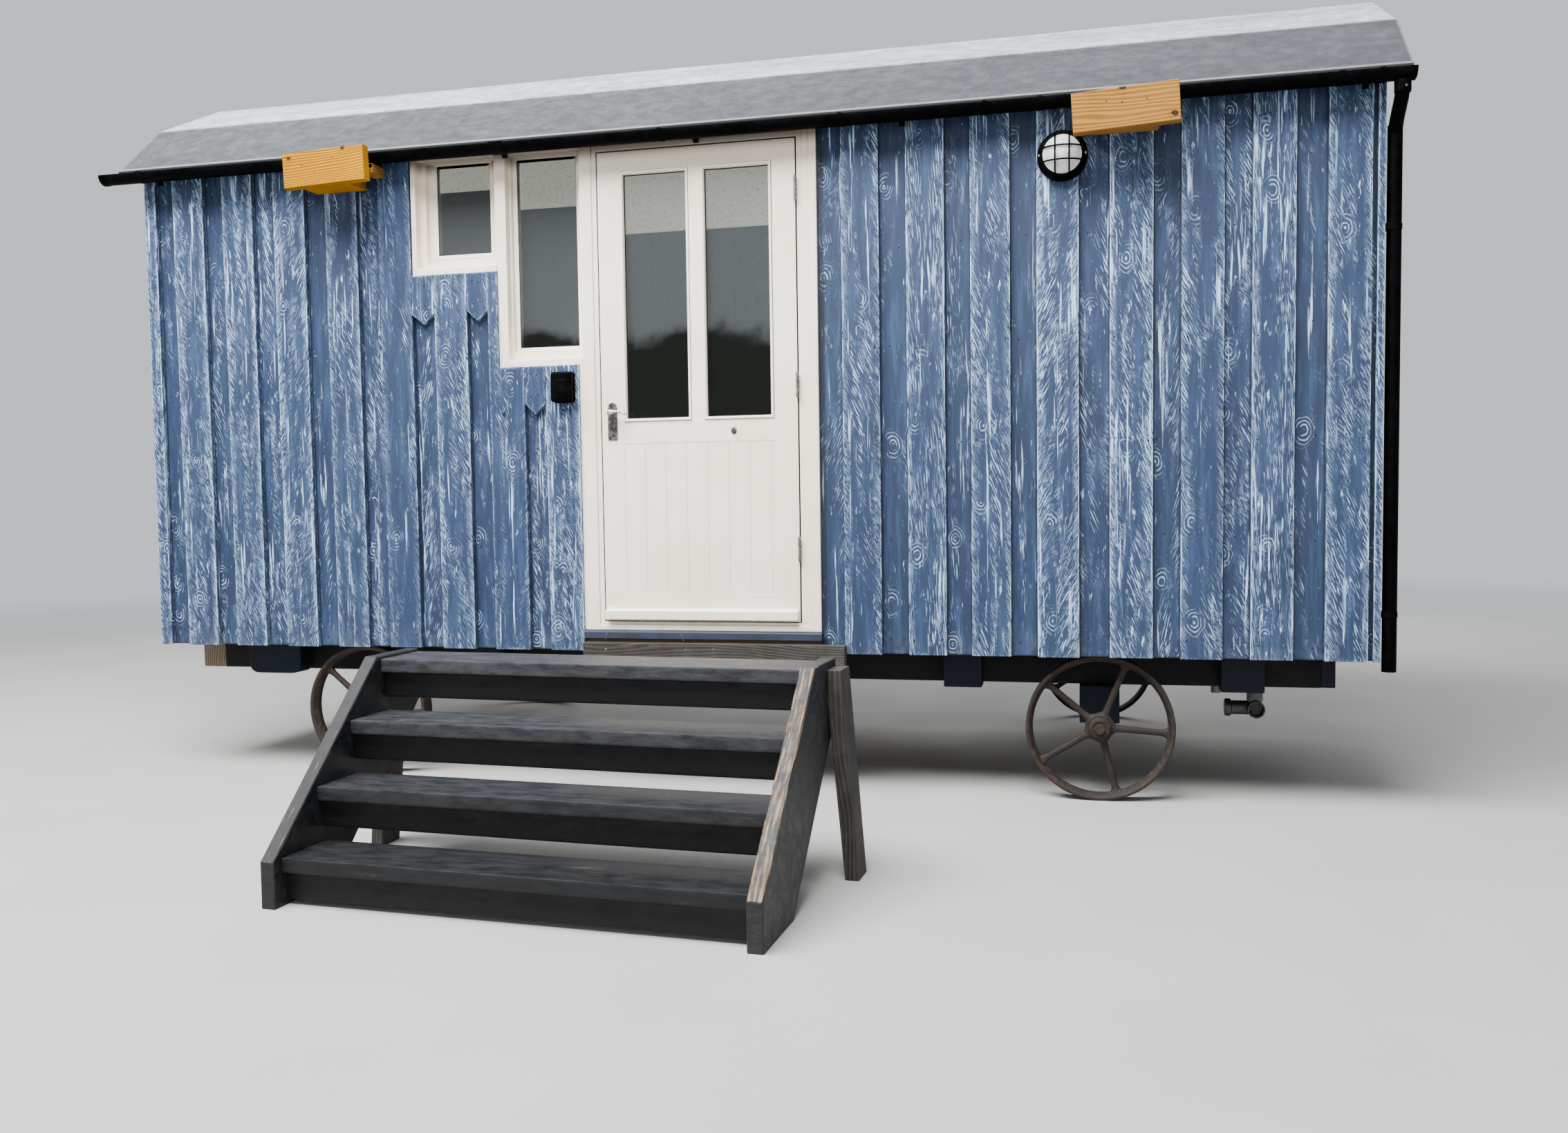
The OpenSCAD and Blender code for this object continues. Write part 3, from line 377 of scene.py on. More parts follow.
class Tree:
    """Short calls for the nodes of a material or a node group."""

    def __init__(self, tree):
        self.tree = tree

    def feed(self, socket, value):
        if isinstance(value, Value):
            self.tree.links.new(socket, value.socket)
        else:
            socket.default_value = value

    def node(self, kind, feeds=None, out=0, **settings):
        """A new node's output, or a list of outputs where `out` is a tuple."""
        node = self.tree.nodes.new("ShaderNode" + kind)
        for key, value in settings.items():
            setattr(node, key, value)
        for key, value in (feeds or {}).items():
            self.feed(node.inputs[key], value)
        if isinstance(out, tuple):
            return [Value(self, node.outputs[key]) for key in out]
        return Value(self, node.outputs[out])

    def maths(self, operation, *values):
        return self.node("Math", dict(enumerate(values)), operation=operation)

    def sine(self, value):
        return self.maths("SINE", value)

    def most(self, *values):
        top = values[0]
        for value in values[1:]:
            top = self.maths("MAXIMUM", top, value)
        return top

    def span(self, value, low, high, to_low=0.0, to_high=1.0):
        """Soft passage from to_low, where the value is at low, to to_high, where it is at high."""
        return self.node("MapRange", {"Value": value, "From Min": low, "From Max": high, "To Min": to_low,
                                      "To Max": to_high}, interpolation_type="SMOOTHSTEP")

    def mix(self, share, a, b):
        return self.node("Mix", {0: share, 6: paint(a), 7: paint(b)}, out=2, data_type="RGBA")

    def ramp(self, value, *stops):
        node = self.tree.nodes.new("ShaderNodeValToRGB")
        for k, (place, colour) in enumerate(stops):
            element = node.color_ramp.elements[k] if k < 2 else node.color_ramp.elements.new(place)
            element.position, element.color = place, paint(colour)
        self.feed(node.inputs[0], value)
        return Value(self, node.outputs[0])

    def parts(self, vector):
        return self.node("SeparateXYZ", {0: vector}, out=(0, 1, 2))

    def join(self, x, y, z=0.0):
        return self.node("CombineXYZ", {0: x, 1: y, 2: z})

    def stretch(self, where, scale, shift=(0, 0, 0)):
        return self.node("Mapping", {"Vector": where, "Scale": scale, "Location": shift})

    def noise(self, where, scale=1.0, detail=3.0, rough=0.5, by=None):
        """Noise at a place, which is first stretched by a vector where one is given."""
        where = self.stretch(where, by) if by else where
        return self.node("TexNoise", {"Vector": where, "Scale": scale, "Detail": detail, "Roughness": rough})

    def streaks(self, grain, across, along, layer=0.0, detail=2.0, rough=0.5):
        """Noise drawn out along the grain. Each layer has its own pattern."""
        return self.noise(self.stretch(grain, (across, along, 1), (0, 0, layer)), detail=detail, rough=rough)

    def grain(self):
        return self.node("UVMap", uv_map="grain")

    def place(self):
        return self.node("TexCoord", out="Object")

    def board(self):
        """Tone, hand, middle and wear of the board."""
        vector, wear = self.node("Attribute", out=("Vector", "Alpha"), attribute_name="board")
        return *self.parts(vector), wear

    def edge(self):
        return self.node("Attribute", out="Fac", attribute_name="edge")

    def use(self, group, *outs, **feeds):
        return self.node("Group", feeds, outs if len(outs) > 1 else outs[0], node_tree=group)


def effect(*gives, **takes):
    """Makes the function below it a node group of its name, built once. takes names the inputs with their
    values, None for a vector. The function gets the inputs and returns one value for each output in gives."""

    def build(wire):
        tree = bpy.data.node_groups.new(wire.__name__, "ShaderNodeTree")
        for label, value in takes.items():
            kind = "NodeSocketVector" if value is None else "NodeSocketFloat"
            socket = tree.interface.new_socket(label, in_out="INPUT", socket_type=kind)
            if value is not None:
                socket.default_value = value
        for label in gives:
            tree.interface.new_socket(label, in_out="OUTPUT", socket_type="NodeSocketFloat")
        entry, leave = tree.nodes.new("NodeGroupInput"), tree.nodes.new("NodeGroupOutput")
        t = Tree(tree)
        for socket, value in zip(leave.inputs, wire(t, *[Value(t, entry.outputs[label]) for label in takes])):
            t.feed(socket, value)
        return tree

    return build


@effect("Strokes", "Soft", Grain=None, Hand=1.0, Middle=0.0, Slant=0.4, Fineness=1.0, Lift=0.0)
def saw_strokes(t, grain, hand, middle, slant, fineness, lift):
    """Marks of a rough saw, mirrored left and right of a line near the board's middle. Noise is drawn out
    along a slant that the hand turns up or down, a sine of the saw's pitch is added and the sum is cut to
    thin strokes; `lift` makes them denser."""
    u, v, _ = t.parts(grain)
    away = t.maths("ABSOLUTE", u - middle)
    tilt = hand * slant
    across = (away - v * tilt + t.streaks(grain, 9, 5) * 0.016) * fineness
    along = (v + away * tilt) * (fineness * 17)
    marks = t.noise(t.join(across * 260, along, middle * 90), detail=1.5)
    rows = t.sine(across * 600) * 0.06
    return t.span(marks + rows + lift, 0.578, 0.635), marks


@effect("Near", "Rings", "Eye", Grain=None, Share=0.45)
def knots(t, grain, share):
    """Knots: one point in each cell of a tall grid is chosen or not by its own number; an eye lies round it
    and rings round the eye fade out."""
    wide, tall = 7.5, 2.7
    cell = t.stretch(grain, (wide, tall, 1))
    number, centre = t.node("TexVoronoi", {"Vector": cell, "Scale": 1.0, "Randomness": 0.85},
                            out=("Color", "Position"))
    gx, gy, _ = t.parts(t.node("VectorMath", {0: cell, 1: centre}, operation="SUBTRACT"))
    gx, gy = gx * (1 / wide), gy * (0.72 / tall)
    r = t.maths("SQRT", gx * gx + gy * gy) + t.streaks(grain, 24, 15) * 0.022
    chosen = t.maths("LESS_THAN", t.parts(number)[0], share)
    near = t.span(r, 0.066, 0.02) * chosen
    return near, t.span(t.sine(r * 560), 0.2, 0.9) * near, t.span(r, 0.0215, 0.0175) * chosen


@effect("Worn", Edge=0.0, Where=None, Amount=0.1)
def worn_arris(t, edge, where, amount):
    """Wear that eats in from the arrises: the edge value plus noise, over a limit that the amount lowers."""
    return [t.span(edge * 0.6 + (t.noise(where, 34, 5, 0.65) + amount), 1.02, 1.14)]


@effect("Bands", "Pores", Grain=None, Wildness=1.0)
def wood_grain(t, grain, wildness):
    """Bands of early and late wood along the grain, bent by slow noise, with fine pores between them."""
    bend = t.streaks(grain, 6, 1.1)
    bands = t.sine(t.parts(grain)[0] * 520 + bend * (wildness * 60))
    return t.span(bands, -0.9, 1.0), t.streaks(grain, 620, 14)


@effect("Dirt", Where=None, Top=0.7, Depth=0.3)
def foot_dirt(t, where, top, depth):
    """Splashes and dust low down: height under a limit, broken up by noise."""
    low = t.span(t.parts(where)[2], top, top - depth)
    return [low * t.span(t.noise(where, 13, 6, 0.7), 0.44, 0.66)]


def finish(name, wire, *look, **plain):
    """A material. wire gets the values in look and returns what its pattern gives to the shader, with Height
    and the depth of its bump in metres; the rest is plain and set on the shader's own sockets."""
    material = bpy.data.materials.new(name)
    material.use_nodes = True
    t = Tree(material.node_tree)
    shader = material.node_tree.nodes["Principled BSDF"]
    for key, value in {**plain, **wire(t, *look)}.items():
        if key == "Height":
            key, value = "Normal", t.node("Bump", {"Height": value[0], "Distance": value[1], "Strength": 1.0})
        t.feed(shader.inputs[key.replace("_", " ")], value)
    return material


def finished(**plain):
    """Makes the function below it the material of its name."""
    return lambda wire: finish(wire.__name__, wire, **plain)


@finished(Specular_IOR_Level=0.35)
def blue_boards(t):
    """Blue paint rubbed through to pale marks: saw strokes of two sizes, rings round knots, streaks along the
    grain, rubbed spots and worn arrises. A board that lies back is painted darker, as painted shade of its
    recess, and has painted shade in its corners instead of worn arrises."""
    where, grain = t.place(), t.grain()
    tone, hand, middle, wear = t.board()
    proud = t.maths("GREATER_THAN", tone, 0.0)
    arris = t.edge() * proud
    frayed = arris * (wear * 0.9 + 0.1)
    lift = frayed * 0.05
    coarse, soft = t.use(saw_strokes, "Strokes", "Soft", Grain=grain, Hand=hand, Middle=middle, Slant=0.48,
                         Lift=lift)
    fine = t.use(saw_strokes, "Strokes", Grain=grain, Hand=hand, Middle=middle + 0.006, Slant=0.75,
                 Fineness=1.5, Lift=lift)
    near, rings = t.use(knots, "Near", "Rings", Grain=grain, Share=0.36)
    coarse_at = t.most(t.span(t.streaks(grain, 15, 1.8, 0, 3, 0.6) + wear * 0.16, 0.59, 0.76), frayed)
    fine_at = t.most(t.span(t.streaks(grain, 17, 2.6, 9, 3, 0.6) + wear * 0.16, 0.6, 0.76), frayed)
    streak = (t.span(t.streaks(grain, 120, 4.2, 0, 2.5, 0.6), 0.53, 0.6)
              * t.span(t.streaks(grain, 26, 1.5, 3) + wear * 0.12, 0.64, 0.72))
    rub = t.span(t.streaks(grain, 60, 11, 7, 5, 0.7) + wear * 0.08, 0.65, 0.74)
    edge = t.use(worn_arris, "Worn", Edge=t.maths("POWER", arris, 4.0), Where=t.stretch(where, (1, 1, 0.3)),
                 Amount=wear * 0.18 - 0.15)
    marks = t.most(coarse * coarse_at * 0.72, fine * fine_at * 0.54) * (1.0 - near * 0.8)
    white = t.most(marks, streak * 0.85, rub * 0.9, rings * t.span(t.noise(where, 21), 0.44, 0.6) * 0.6,
                   edge * 0.8)
    deep = t.streaks(grain, 5, 0.9, 11, 4, 0.6)
    haze = t.span(t.streaks(grain, 30, 3.1, 5, 4, 0.65), 0.42, 0.75)
    # Base blue varied by tone from board to board; a board that lies back has a tone below 0 and is painted
    # darker here, as painted shade of its recess.
    colour = t.mix(t.span(deep + tone * 0.3, 0.25, 0.9), (24, 38, 63), (28, 44, 72))
    colour = t.mix(haze * 0.28, colour, (70, 98, 142))
    colour = t.mix(white, colour, (182, 208, 238))
    # Painted shade: a board that lies back goes dark in its corners beside the proud boards.
    colour = t.mix(t.span(t.edge(), 0.03, 0.3) * (1.0 - proud) * 0.7, colour, (6, 9, 14))
    colour = t.mix(t.use(foot_dirt, "Dirt", Where=where, Top=0.70, Depth=0.16) * 0.35, colour, (92, 98, 102))
    return dict(Base_Color=colour, Roughness=t.span(white, 0, 1, 0.62, 0.86),
                Height=(soft * 0.8 + (rub + rings) * 0.3, 0.0012))


@finished()
def cream_joinery(t):
    """Brushed cream paint with specks, some dust at the foot and painted shadow under the eave."""
    where = t.place()
    hairs = t.streaks(t.grain(), 700, 9, detail=3, rough=0.6)
    soft = t.noise(where, 3.1, 4, 0.6)
    colour = t.mix(t.span(soft, 0.35, 0.7), (236, 222, 203), (244, 233, 217))
    colour = t.mix(t.span(t.noise(where, 210, 1), 0.74, 0.78) * 0.25, colour, (150, 142, 130))
    colour = t.mix(t.span(hairs, 0.6, 0.8) * 0.12, colour, (198, 190, 178))
    colour = t.mix(t.use(foot_dirt, "Dirt", Where=where, Top=0.84, Depth=0.2) * 0.22, colour, (170, 160, 146))
    # Painted shadow: the casing's top goes dark under the eave, where the gutter and roof shade it.
    colour = t.mix(t.span(t.parts(where)[2] + soft * 0.02, 2.596, 2.662) * 0.8, colour, (84, 72, 62))
    return dict(Base_Color=colour, Roughness=t.span(hairs, 0.3, 0.7, 0.36, 0.5), Height=(hairs, 0.00025))


@finished()
def roof_shell(t):
    """Darker grey on the steep lowest facets, paler above the first knuckle."""
    where = t.place()
    slow = t.noise(where, 2.6, 6, 0.62, by=(0.8, 2.2, 2.2))
    cloud = t.noise(where, 14, 6, 0.75, by=(1, 1.5, 1.5))
    both = slow * 0.5 + cloud * 0.5
    low_facet_grey = t.ramp(both, (0.38, (53, 55, 58)), (0.52, (59, 61, 64)), (0.64, (67, 69, 72)))
    high_facet_grey = t.ramp(both, (0.38, (124, 126, 129)), (0.52, (151, 153, 155)), (0.64, (178, 180, 181)))
    colour = t.mix(t.span(t.parts(where)[2], 2.932, 2.952), low_facet_grey, high_facet_grey)
    colour = t.mix(t.span(t.noise(where, 190, 2, 0.7), 0.67, 0.71) * 0.7, colour, (38, 40, 42))
    colour = t.mix(t.span(t.noise(where, 60, 4, 0.75), 0.64, 0.7) * 0.4, colour, (72, 74, 75))
    colour = t.mix(t.edge() * 0.6, colour, (120, 122, 124))
    return dict(Base_Color=colour, Roughness=t.span(cloud, 0.3, 0.7, 0.34, 0.6),
                Height=(t.noise(where, 420, 2) * 0.35 + cloud * 0.4, 0.0009))


def sawn_timber(t, dark=(62, 48, 36), mid=(98, 79, 60), pale=(128, 108, 84), silver=0.3, knotty=0.4):
    """Bare wood, its bands and pores in three browns, with grey weathering and dark knots."""
    where, grain = t.place(), t.grain()
    bands, pores = t.use(wood_grain, "Bands", "Pores", Grain=grain, Wildness=1.0)
    rings, eye = t.use(knots, "Rings", "Eye", Grain=grain, Share=knotty)
    shade = bands * 0.55 + t.noise(where, 5.5, 4) * 0.5 + (t.board()[0] - 0.5) * 0.3
    colour = t.ramp(shade, (0.18, dark), (0.5, mid), (0.85, pale))
    colour = t.mix(t.span(pores, 0.56, 0.7) * 0.5, colour, dark)
    colour = t.mix(t.span(t.noise(where, 8, 5, 0.65), 0.4, 0.7) * silver, colour, (88, 86, 82))
    colour = t.mix((rings * 0.4 + eye) * 0.75, colour, (46, 28, 16))
    return dict(Base_Color=colour, Roughness=t.span(pores, 0.3, 0.7, 0.72, 0.9),
                Height=(bands + pores, 0.0006))


weathered_timber = finish("weathered_timber", sawn_timber)
ledger_timber = finish("ledger_timber", sawn_timber, (18, 14, 11), (32, 27, 23), (52, 45, 38), 0.22)
fresh_timber = finish("fresh_timber", sawn_timber, (112, 74, 30), (135, 93, 41), (152, 109, 52), 0.02, 0.75,
                      Specular_IOR_Level=0.05)
bright_timber = finish("bright_timber", sawn_timber, (130, 80, 4), (163, 110, 10), (186, 134, 26), 0.0, 0.75,
                       Specular_IOR_Level=0.05)


def lining(t, low, high, upright):
    """Plain planed boards on a frame node, read from its place: 120 mm boards with a dark joint."""
    where = t.place()
    grain = t.noise(where, 1.0, 4, 0.6, by=(90, 90, 3) if upright else (3, 90, 90))
    step = t.parts(where)[0 if upright else 1] * (1 / 0.12)
    joint = t.span(t.maths("PINGPONG", step, 0.5), 0.03, 0.0)
    tone = t.noise(t.join(t.maths("FLOOR", step), 0.5), 3.7, 0)
    colour = t.mix(t.span(grain * 0.6 + tone * 0.4, 0.35, 0.65), low, high)
    colour = t.mix(joint * 0.5, colour, (30, 24, 18))
    return dict(Base_Color=colour, Roughness=t.span(grain, 0.3, 0.7, 0.5, 0.7),
                Height=(grain - joint, 0.0008))


wall_lining = finish("wall_lining", lining, (92, 78, 60), (110, 95, 74), True)
floor_boards = finish("floor_boards", lining, (90, 68, 44), (116, 90, 60), False)


@finished(Specular_IOR_Level=0.25)
def step_paint(t):
    """Scuffed dark paint, rubbed to a dusty brown on the treads and to bare wood on worn arrises."""
    where, grain = t.place(), t.grain()
    tone, scuffed, _, wear = t.board()
    bands, pores = t.use(wood_grain, "Bands", "Pores", Grain=grain, Wildness=0.7)
    scuff = t.noise(where, 7, 7, 0.72, by=(1.2, 4, 4))
    fine = t.noise(where, 60, 4, 0.6, by=(0.5, 5, 5))
    rubbed = t.span(t.noise(where, 6, 5, 0.7, by=(0.55, 2.5, 2.5)) + wear * 0.25, 0.64, 0.86)
    bare = t.use(worn_arris, "Worn", Edge=t.edge(), Where=t.stretch(grain, (2.6, 0.3, 1)),
                 Amount=wear * 0.5 - 0.36)
    colour = t.mix(t.span(scuff * 0.7 + fine * 0.3, 0.36, 0.64), (26, 27, 30), (56, 57, 60))
    # A low tone darkens the paint to near black: the treads differ in tone, and the risers, at tone 0, go
    # near black, painted shade under the nosings over their own dark paint.
    colour = t.mix(t.span(tone, 0.0, 1.0), (6, 7, 8), colour)
    colour = t.mix(rubbed * t.span(fine, 0.32, 0.6) * scuffed * 0.65, colour, (104, 92, 80))
    colour = t.mix(bare * 0.9, colour, t.mix(bands, (66, 48, 30), (126, 100, 70)))
    return dict(Base_Color=colour, Roughness=t.span(scuff, 0.3, 0.7, 0.42, 0.66),
                Height=(pores * 0.5 + fine * 0.6, 0.0006))


def dusty_paint(t, low=(5, 6, 7), high=(14, 16, 18)):
    where = t.place()
    blot = t.noise(where, 9, 6, 0.7)
    colour = t.mix(t.span(blot, 0.38, 0.66), low, high)
    colour = t.mix(t.use(foot_dirt, "Dirt", Where=where, Top=0.62, Depth=0.6) * 0.12, colour, (48, 44, 40))
    return dict(Base_Color=colour, Roughness=t.span(blot, 0.3, 0.7, 0.6, 0.85),
                Height=(t.noise(where, 1.5, 4, by=(4, 60, 60)), 0.0008))


chassis_paint = finish("chassis_paint", dusty_paint, Specular_IOR_Level=0.2)
block_paint = finish("block_paint", dusty_paint, (9, 13, 22), (19, 26, 40), Specular_IOR_Level=0.2)
sill_paint = finish("sill_paint", dusty_paint, (20, 28, 44), (32, 43, 66))


@finished()
def rusty_iron(t):
    where = t.place()
    small, pits = t.noise(where, 48, 6, 0.7), t.noise(where, 230, 3, 0.6)
    colour = t.ramp(t.noise(where, 6, 5, 0.65) * 0.5 + small * 0.5, (0.36, (14, 10, 8)), (0.48, (25, 17, 12)),
                    (0.58, (42, 27, 16)), (0.7, (70, 46, 27)))
    colour = t.mix(t.span(pits, 0.56, 0.68) * 0.5, colour, (24, 18, 15))
    return dict(Base_Color=colour, Roughness=t.span(small, 0.3, 0.7, 0.62, 0.88),
                Metallic=t.span(small, 0.66, 0.5, 0.0, 0.25), Height=(pits * 0.5 + small, 0.0014))


def moulded_plastic(t, low, high, dust):
    where = t.place()
    soft = t.noise(where, 11, 4, 0.6)
    colour = t.mix(t.span(soft, 0.35, 0.65), low, high)
    colour = t.mix(t.span(t.noise(where, 26, 5, 0.7), 0.5, 0.7) * dust, colour, (78, 80, 80))
    return dict(Base_Color=colour, Roughness=t.span(soft, 0.3, 0.7, 0.4, 0.55),
                Height=(t.noise(where, 320, 2), 0.00012))


black_plastic = finish("black_plastic", moulded_plastic, (2, 2, 2), (5, 5, 6), 0.02, Specular_IOR_Level=0.02)
grey_plastic = finish("grey_plastic", moulded_plastic, (74, 78, 82), (96, 100, 104), 0.3)
dark_plastic = finish("dark_plastic", moulded_plastic, (28, 30, 32), (44, 47, 50), 0.3)
sealant = finish("sealant", moulded_plastic, (5, 5, 6), (12, 12, 12), 0.03, Specular_IOR_Level=0.2)


def worn_metal(t, low, high, dull, hammer=0.0):
    where = t.place()
    scratch = t.noise(where, 240, 4, 0.65, by=(1, 1, 0.25))
    cloud = t.noise(where, 70, 4, 0.6)
    dents = t.node("TexVoronoi", {"Vector": where, "Scale": 210.0}, feature="SMOOTH_F1")
    colour = t.mix(t.span(cloud, 0.36, 0.66), low, high)
    colour = t.mix(t.span(scratch, 0.56, 0.7) * 0.6, colour, dull)
    return dict(Base_Color=colour, Roughness=t.span(cloud, 0.3, 0.7, 0.34, 0.58),
                Metallic=t.span(scratch, 0.75, 0.5, 0.45, 0.9),
                Height=(scratch * 0.2 + dents * hammer, 0.0006))


zinc_hinges = finish("zinc_hinges", worn_metal, (96, 94, 90), (134, 132, 128), (52, 48, 44))
pewter = finish("pewter", worn_metal, (62, 62, 63), (104, 104, 103), (30, 30, 30), 1.6)
worn_lever = finish("worn_lever", worn_metal, (150, 148, 144), (206, 204, 200), (66, 64, 62))
dark_nail = finish("dark_nail", worn_metal, (12, 13, 15), (24, 24, 25), (36, 28, 24))
brass_wear = finish("brass_wear", worn_metal, (62, 54, 40), (112, 92, 60), (36, 32, 28))


@finished(Specular_IOR_Level=0.4)
def window_glass(t):
    """Fine drops on the pane, and a painted reflection in its film: pale grey above, dark towards its foot.
    """
    where = t.place()
    number, gap = t.node("TexVoronoi", {"Vector": t.stretch(where, (1, 0.2, 0.8)), "Scale": 120.0},
                         out=("Color", "Distance"))
    drops = t.span(gap, 0.3, 0.14) * t.maths("GREATER_THAN", t.parts(number)[0], 0.62)
    # Painted reflection: the film's colour runs from dark at the pane's foot to pale grey above.
    sky = t.span(t.parts(where)[2] + t.noise(where, 3.2, 4, 0.6) * 0.3, 2.02, 2.09)
    colour = t.mix(sky, (13, 15, 11), (68, 72, 73))
    colour = t.mix(drops * 0.6, colour, (10, 11, 11))
    return dict(Base_Color=colour, Alpha=t.span(sky, 0.0, 1.0, 0.72, 0.56) + drops * 0.2,
                Roughness=t.span(drops, 0.0, 1.0, 0.06, 0.2))


@finished()
def lamp_glass(t):
    cloud = t.noise(t.place(), 34, 4, 0.6)
    return dict(Base_Color=t.mix(t.span(cloud, 0.35, 0.65), (196, 198, 198), (232, 232, 228)),
                Roughness=t.span(cloud, 0.3, 0.7, 0.06, 0.2), Alpha=t.span(cloud, 0.3, 0.7, 0.36, 0.5))


@finished()
def lamp_tray(t):
    cloud = t.noise(t.place(), 60, 4, 0.6)
    return dict(Base_Color=t.mix(t.span(cloud, 0.3, 0.7), (206, 206, 200), (240, 240, 236)),
                Roughness=t.span(cloud, 0.3, 0.7, 0.25, 0.45))


@finished(Sheen_Weight=0.2, Emission_Strength=1.7)
def blind_fabric(t):
    """Plain weave with a thread each 1.1 mm and thicker slubs in it. The cloth glows with its own colour as
    painted light, though no lamp is in it.
    """
    grain = t.grain()
    u, v, _ = t.parts(grain)
    pitch = 2 * pi / 0.0011
    cloth = (t.sine(v * pitch) + t.sine(u * pitch)) * 0.5
    slub = t.streaks(grain, 30, 400, detail=3)
    colour = t.mix(t.span(cloth * 0.2 + slub, 0.35, 0.75), (222, 222, 204), (238, 238, 226))
    # Painted light: the cloth's own colour is also its emission, so it glows.
    return dict(Base_Color=colour, Emission_Color=colour, Roughness=t.span(slub, 0.3, 0.7, 0.8, 0.95),
                Height=(cloth + slub, 0.0002))


# ---------------------------------------------------------------- camera, light and floor

CAMERA = dict(at=(4145.9, -5057.5, 640.7), yaw=0.234, pitch=0.055, roll=-0.014, focal=1860.6)
SENSOR, PHOTO_WIDTH = 36.0, 2268.0


def stand(obj, right, up, back, at):
    """Gives a camera or a lamp its axes and its place."""
    matrix = np.eye(4)
    matrix[:3] = np.stack([right, up, back, at], 1)
    obj.matrix_world = Matrix(matrix.tolist())
    bpy.context.scene.collection.objects.link(obj)


def look_from(at, yaw, pitch, roll, focal):
    """The photograph's view: forward is (-sin yaw cos pitch, cos yaw cos pitch, -sin pitch), and the roll
    turns right and up about it. The lens follows from the focal length in pixels of the photo's width."""
    ahead = np.array([-sin(yaw) * cos(pitch), cos(yaw) * cos(pitch), -sin(pitch)])
    level = np.array([cos(yaw), sin(yaw), 0.0])
    raised = np.cross(level, ahead)
    data = bpy.data.cameras.new("view")
    data.sensor_width, data.lens, data.clip_end = SENSOR, focal * SENSOR / PHOTO_WIDTH, 200.0
    camera = bpy.data.objects.new("view", data)
    stand(camera, cos(roll) * level + sin(roll) * raised, cos(roll) * raised - sin(roll) * level, -ahead,
          to_scene(at))
    bpy.context.scene.camera = camera


def lamp(name, at, towards, size, power, colour=(1, 1, 1)):
    data = bpy.data.lights.new(name, "AREA")
    data.shape, data.size, data.size_y = "RECTANGLE", *size
    data.energy, data.color = power, colour
    ahead = unit(array(towards) - at)
    side = unit(np.cross(ahead, Z))
    stand(bpy.data.objects.new(name, data), side, np.cross(side, ahead), -ahead, at)


look_from(**CAMERA)
lamp("sky_box", (-1.5, -4.0, 8.5), (0.0, 0.0, 1.0), (8, 4.5), 4150, (0.97, 0.985, 1.0))
lamp("front_fill", (1.5, -10.0, 3.4), (0.0, 0.0, 1.2), (6, 4), 210, (1.0, 0.985, 0.96))
lamp("left_fill", (-9.0, -1.0, 4.0), (0.0, 0.5, 1.4), (5, 4), 300)
lamp("rear_fill", (1.0, 9.0, 5.0), (0.0, 1.0, 1.4), (8, 4), 700)

SKY = (218, 224, 230)
world = bpy.data.worlds.new("studio")
world.use_nodes = True
studio, sky = Tree(world.node_tree), world.node_tree.nodes["Background"]
studio.feed(sky.inputs["Color"], paint(SKY))
studio.feed(sky.inputs["Strength"], studio.node("LightPath") * 0.5 + 0.55)
bpy.context.scene.world = world


@finished(Emission_Strength=1.05, Specular_IOR_Level=0.1)
def studio_floor(t):
    """Far from the lamps the sheet takes the world's colour, so that no horizon shows."""
    where = t.place()
    mottled = t.noise(where, 1.3)
    far = t.span(t.node("VectorMath", {0: where}, out=1, operation="LENGTH"), 4.5, 16.0)
    near = t.mix(mottled, (150, 149, 146), (160, 159, 156))
    return dict(Base_Color=t.mix(far, near, (1, 1, 1)), Emission_Color=t.mix(far, (0, 0, 0), SKY),
                Roughness=t.span(mottled, 0.3, 0.7, 0.7, 0.9))


def lay_floor():
    """A wide pale level sheet half a millimetre under the ground's level."""
    n = 7
    x, y = np.meshgrid(np.linspace(-90, 90, n), np.linspace(-90, 90, n))
    i, j = cells(n - 1, n - 1)
    quads = np.stack([i * n + j, i * n + j + 1, (i + 1) * n + j + 1, (i + 1) * n + j], 1)
    mesh = bpy.data.meshes.new("studio_floor")
    mesh.from_pydata(np.stack([x, y, 0 * x - 0.0005], -1).reshape(-1, 3).tolist(), [], quads.tolist())
    mesh.shade_smooth()
    mesh.materials.append(studio_floor)
    obj = bpy.data.objects.new("studio_floor", mesh)
    bpy.context.scene.collection.objects.link(obj)


lay_floor()

# ---------------------------------------------------------------- cladding

PROUD_T, BACK_T, LAP = 25.0, 20.0, 20.0
TOP, NAILED_TOP, BACK_FOOT = 2147.0, 2120.0, 2.0
WALL_END = 5157.0
BOARD, PITCH = 150.0, 254.8
CASING_X0, STEP_X, FRAME_X1 = 1316.0, 1711.0, 3089.0
STEP_Z1, STEP_Z2 = 1603.0, 1199.0

LEFT_BOARDS = [(0, 54), (146, 298), (398, 547), (655, 806), (910, 1060), (1165, 1313)]
UNDER_BOARDS = [(1419, 1569), (1667, 1825), (1922, 2071)]
RIGHT_BOARDS = [(3190, 3339), (3447, 3596), (3696, 3847), (3948, 4105), (4219, 4377), (4478, 4630),
                (4729, 4879), (4989, 5136)]


def board_look(proud=True):
    """Tone, hand of the saw marks, place of their middle line and wear of one board, drawn at random. A board
    that lies back between two others has a tone below 0, which paints it darker as painted shade of its
    recess."""
    hand = rng.choice([-1.0, 1.0]) * rng.choice([1.0, 0.85, 0.55, 0.15], p=[0.5, 0.25, 0.15, 0.1])
    tone = rng.uniform(0.45, 1.0) if proud else rng.uniform(-0.2, -0.01)
    wear = rng.uniform(0.25, 0.85) if proud else rng.uniform(0.2, 0.75)
    return tone, hand, rng.uniform(-0.018, 0.03), wear


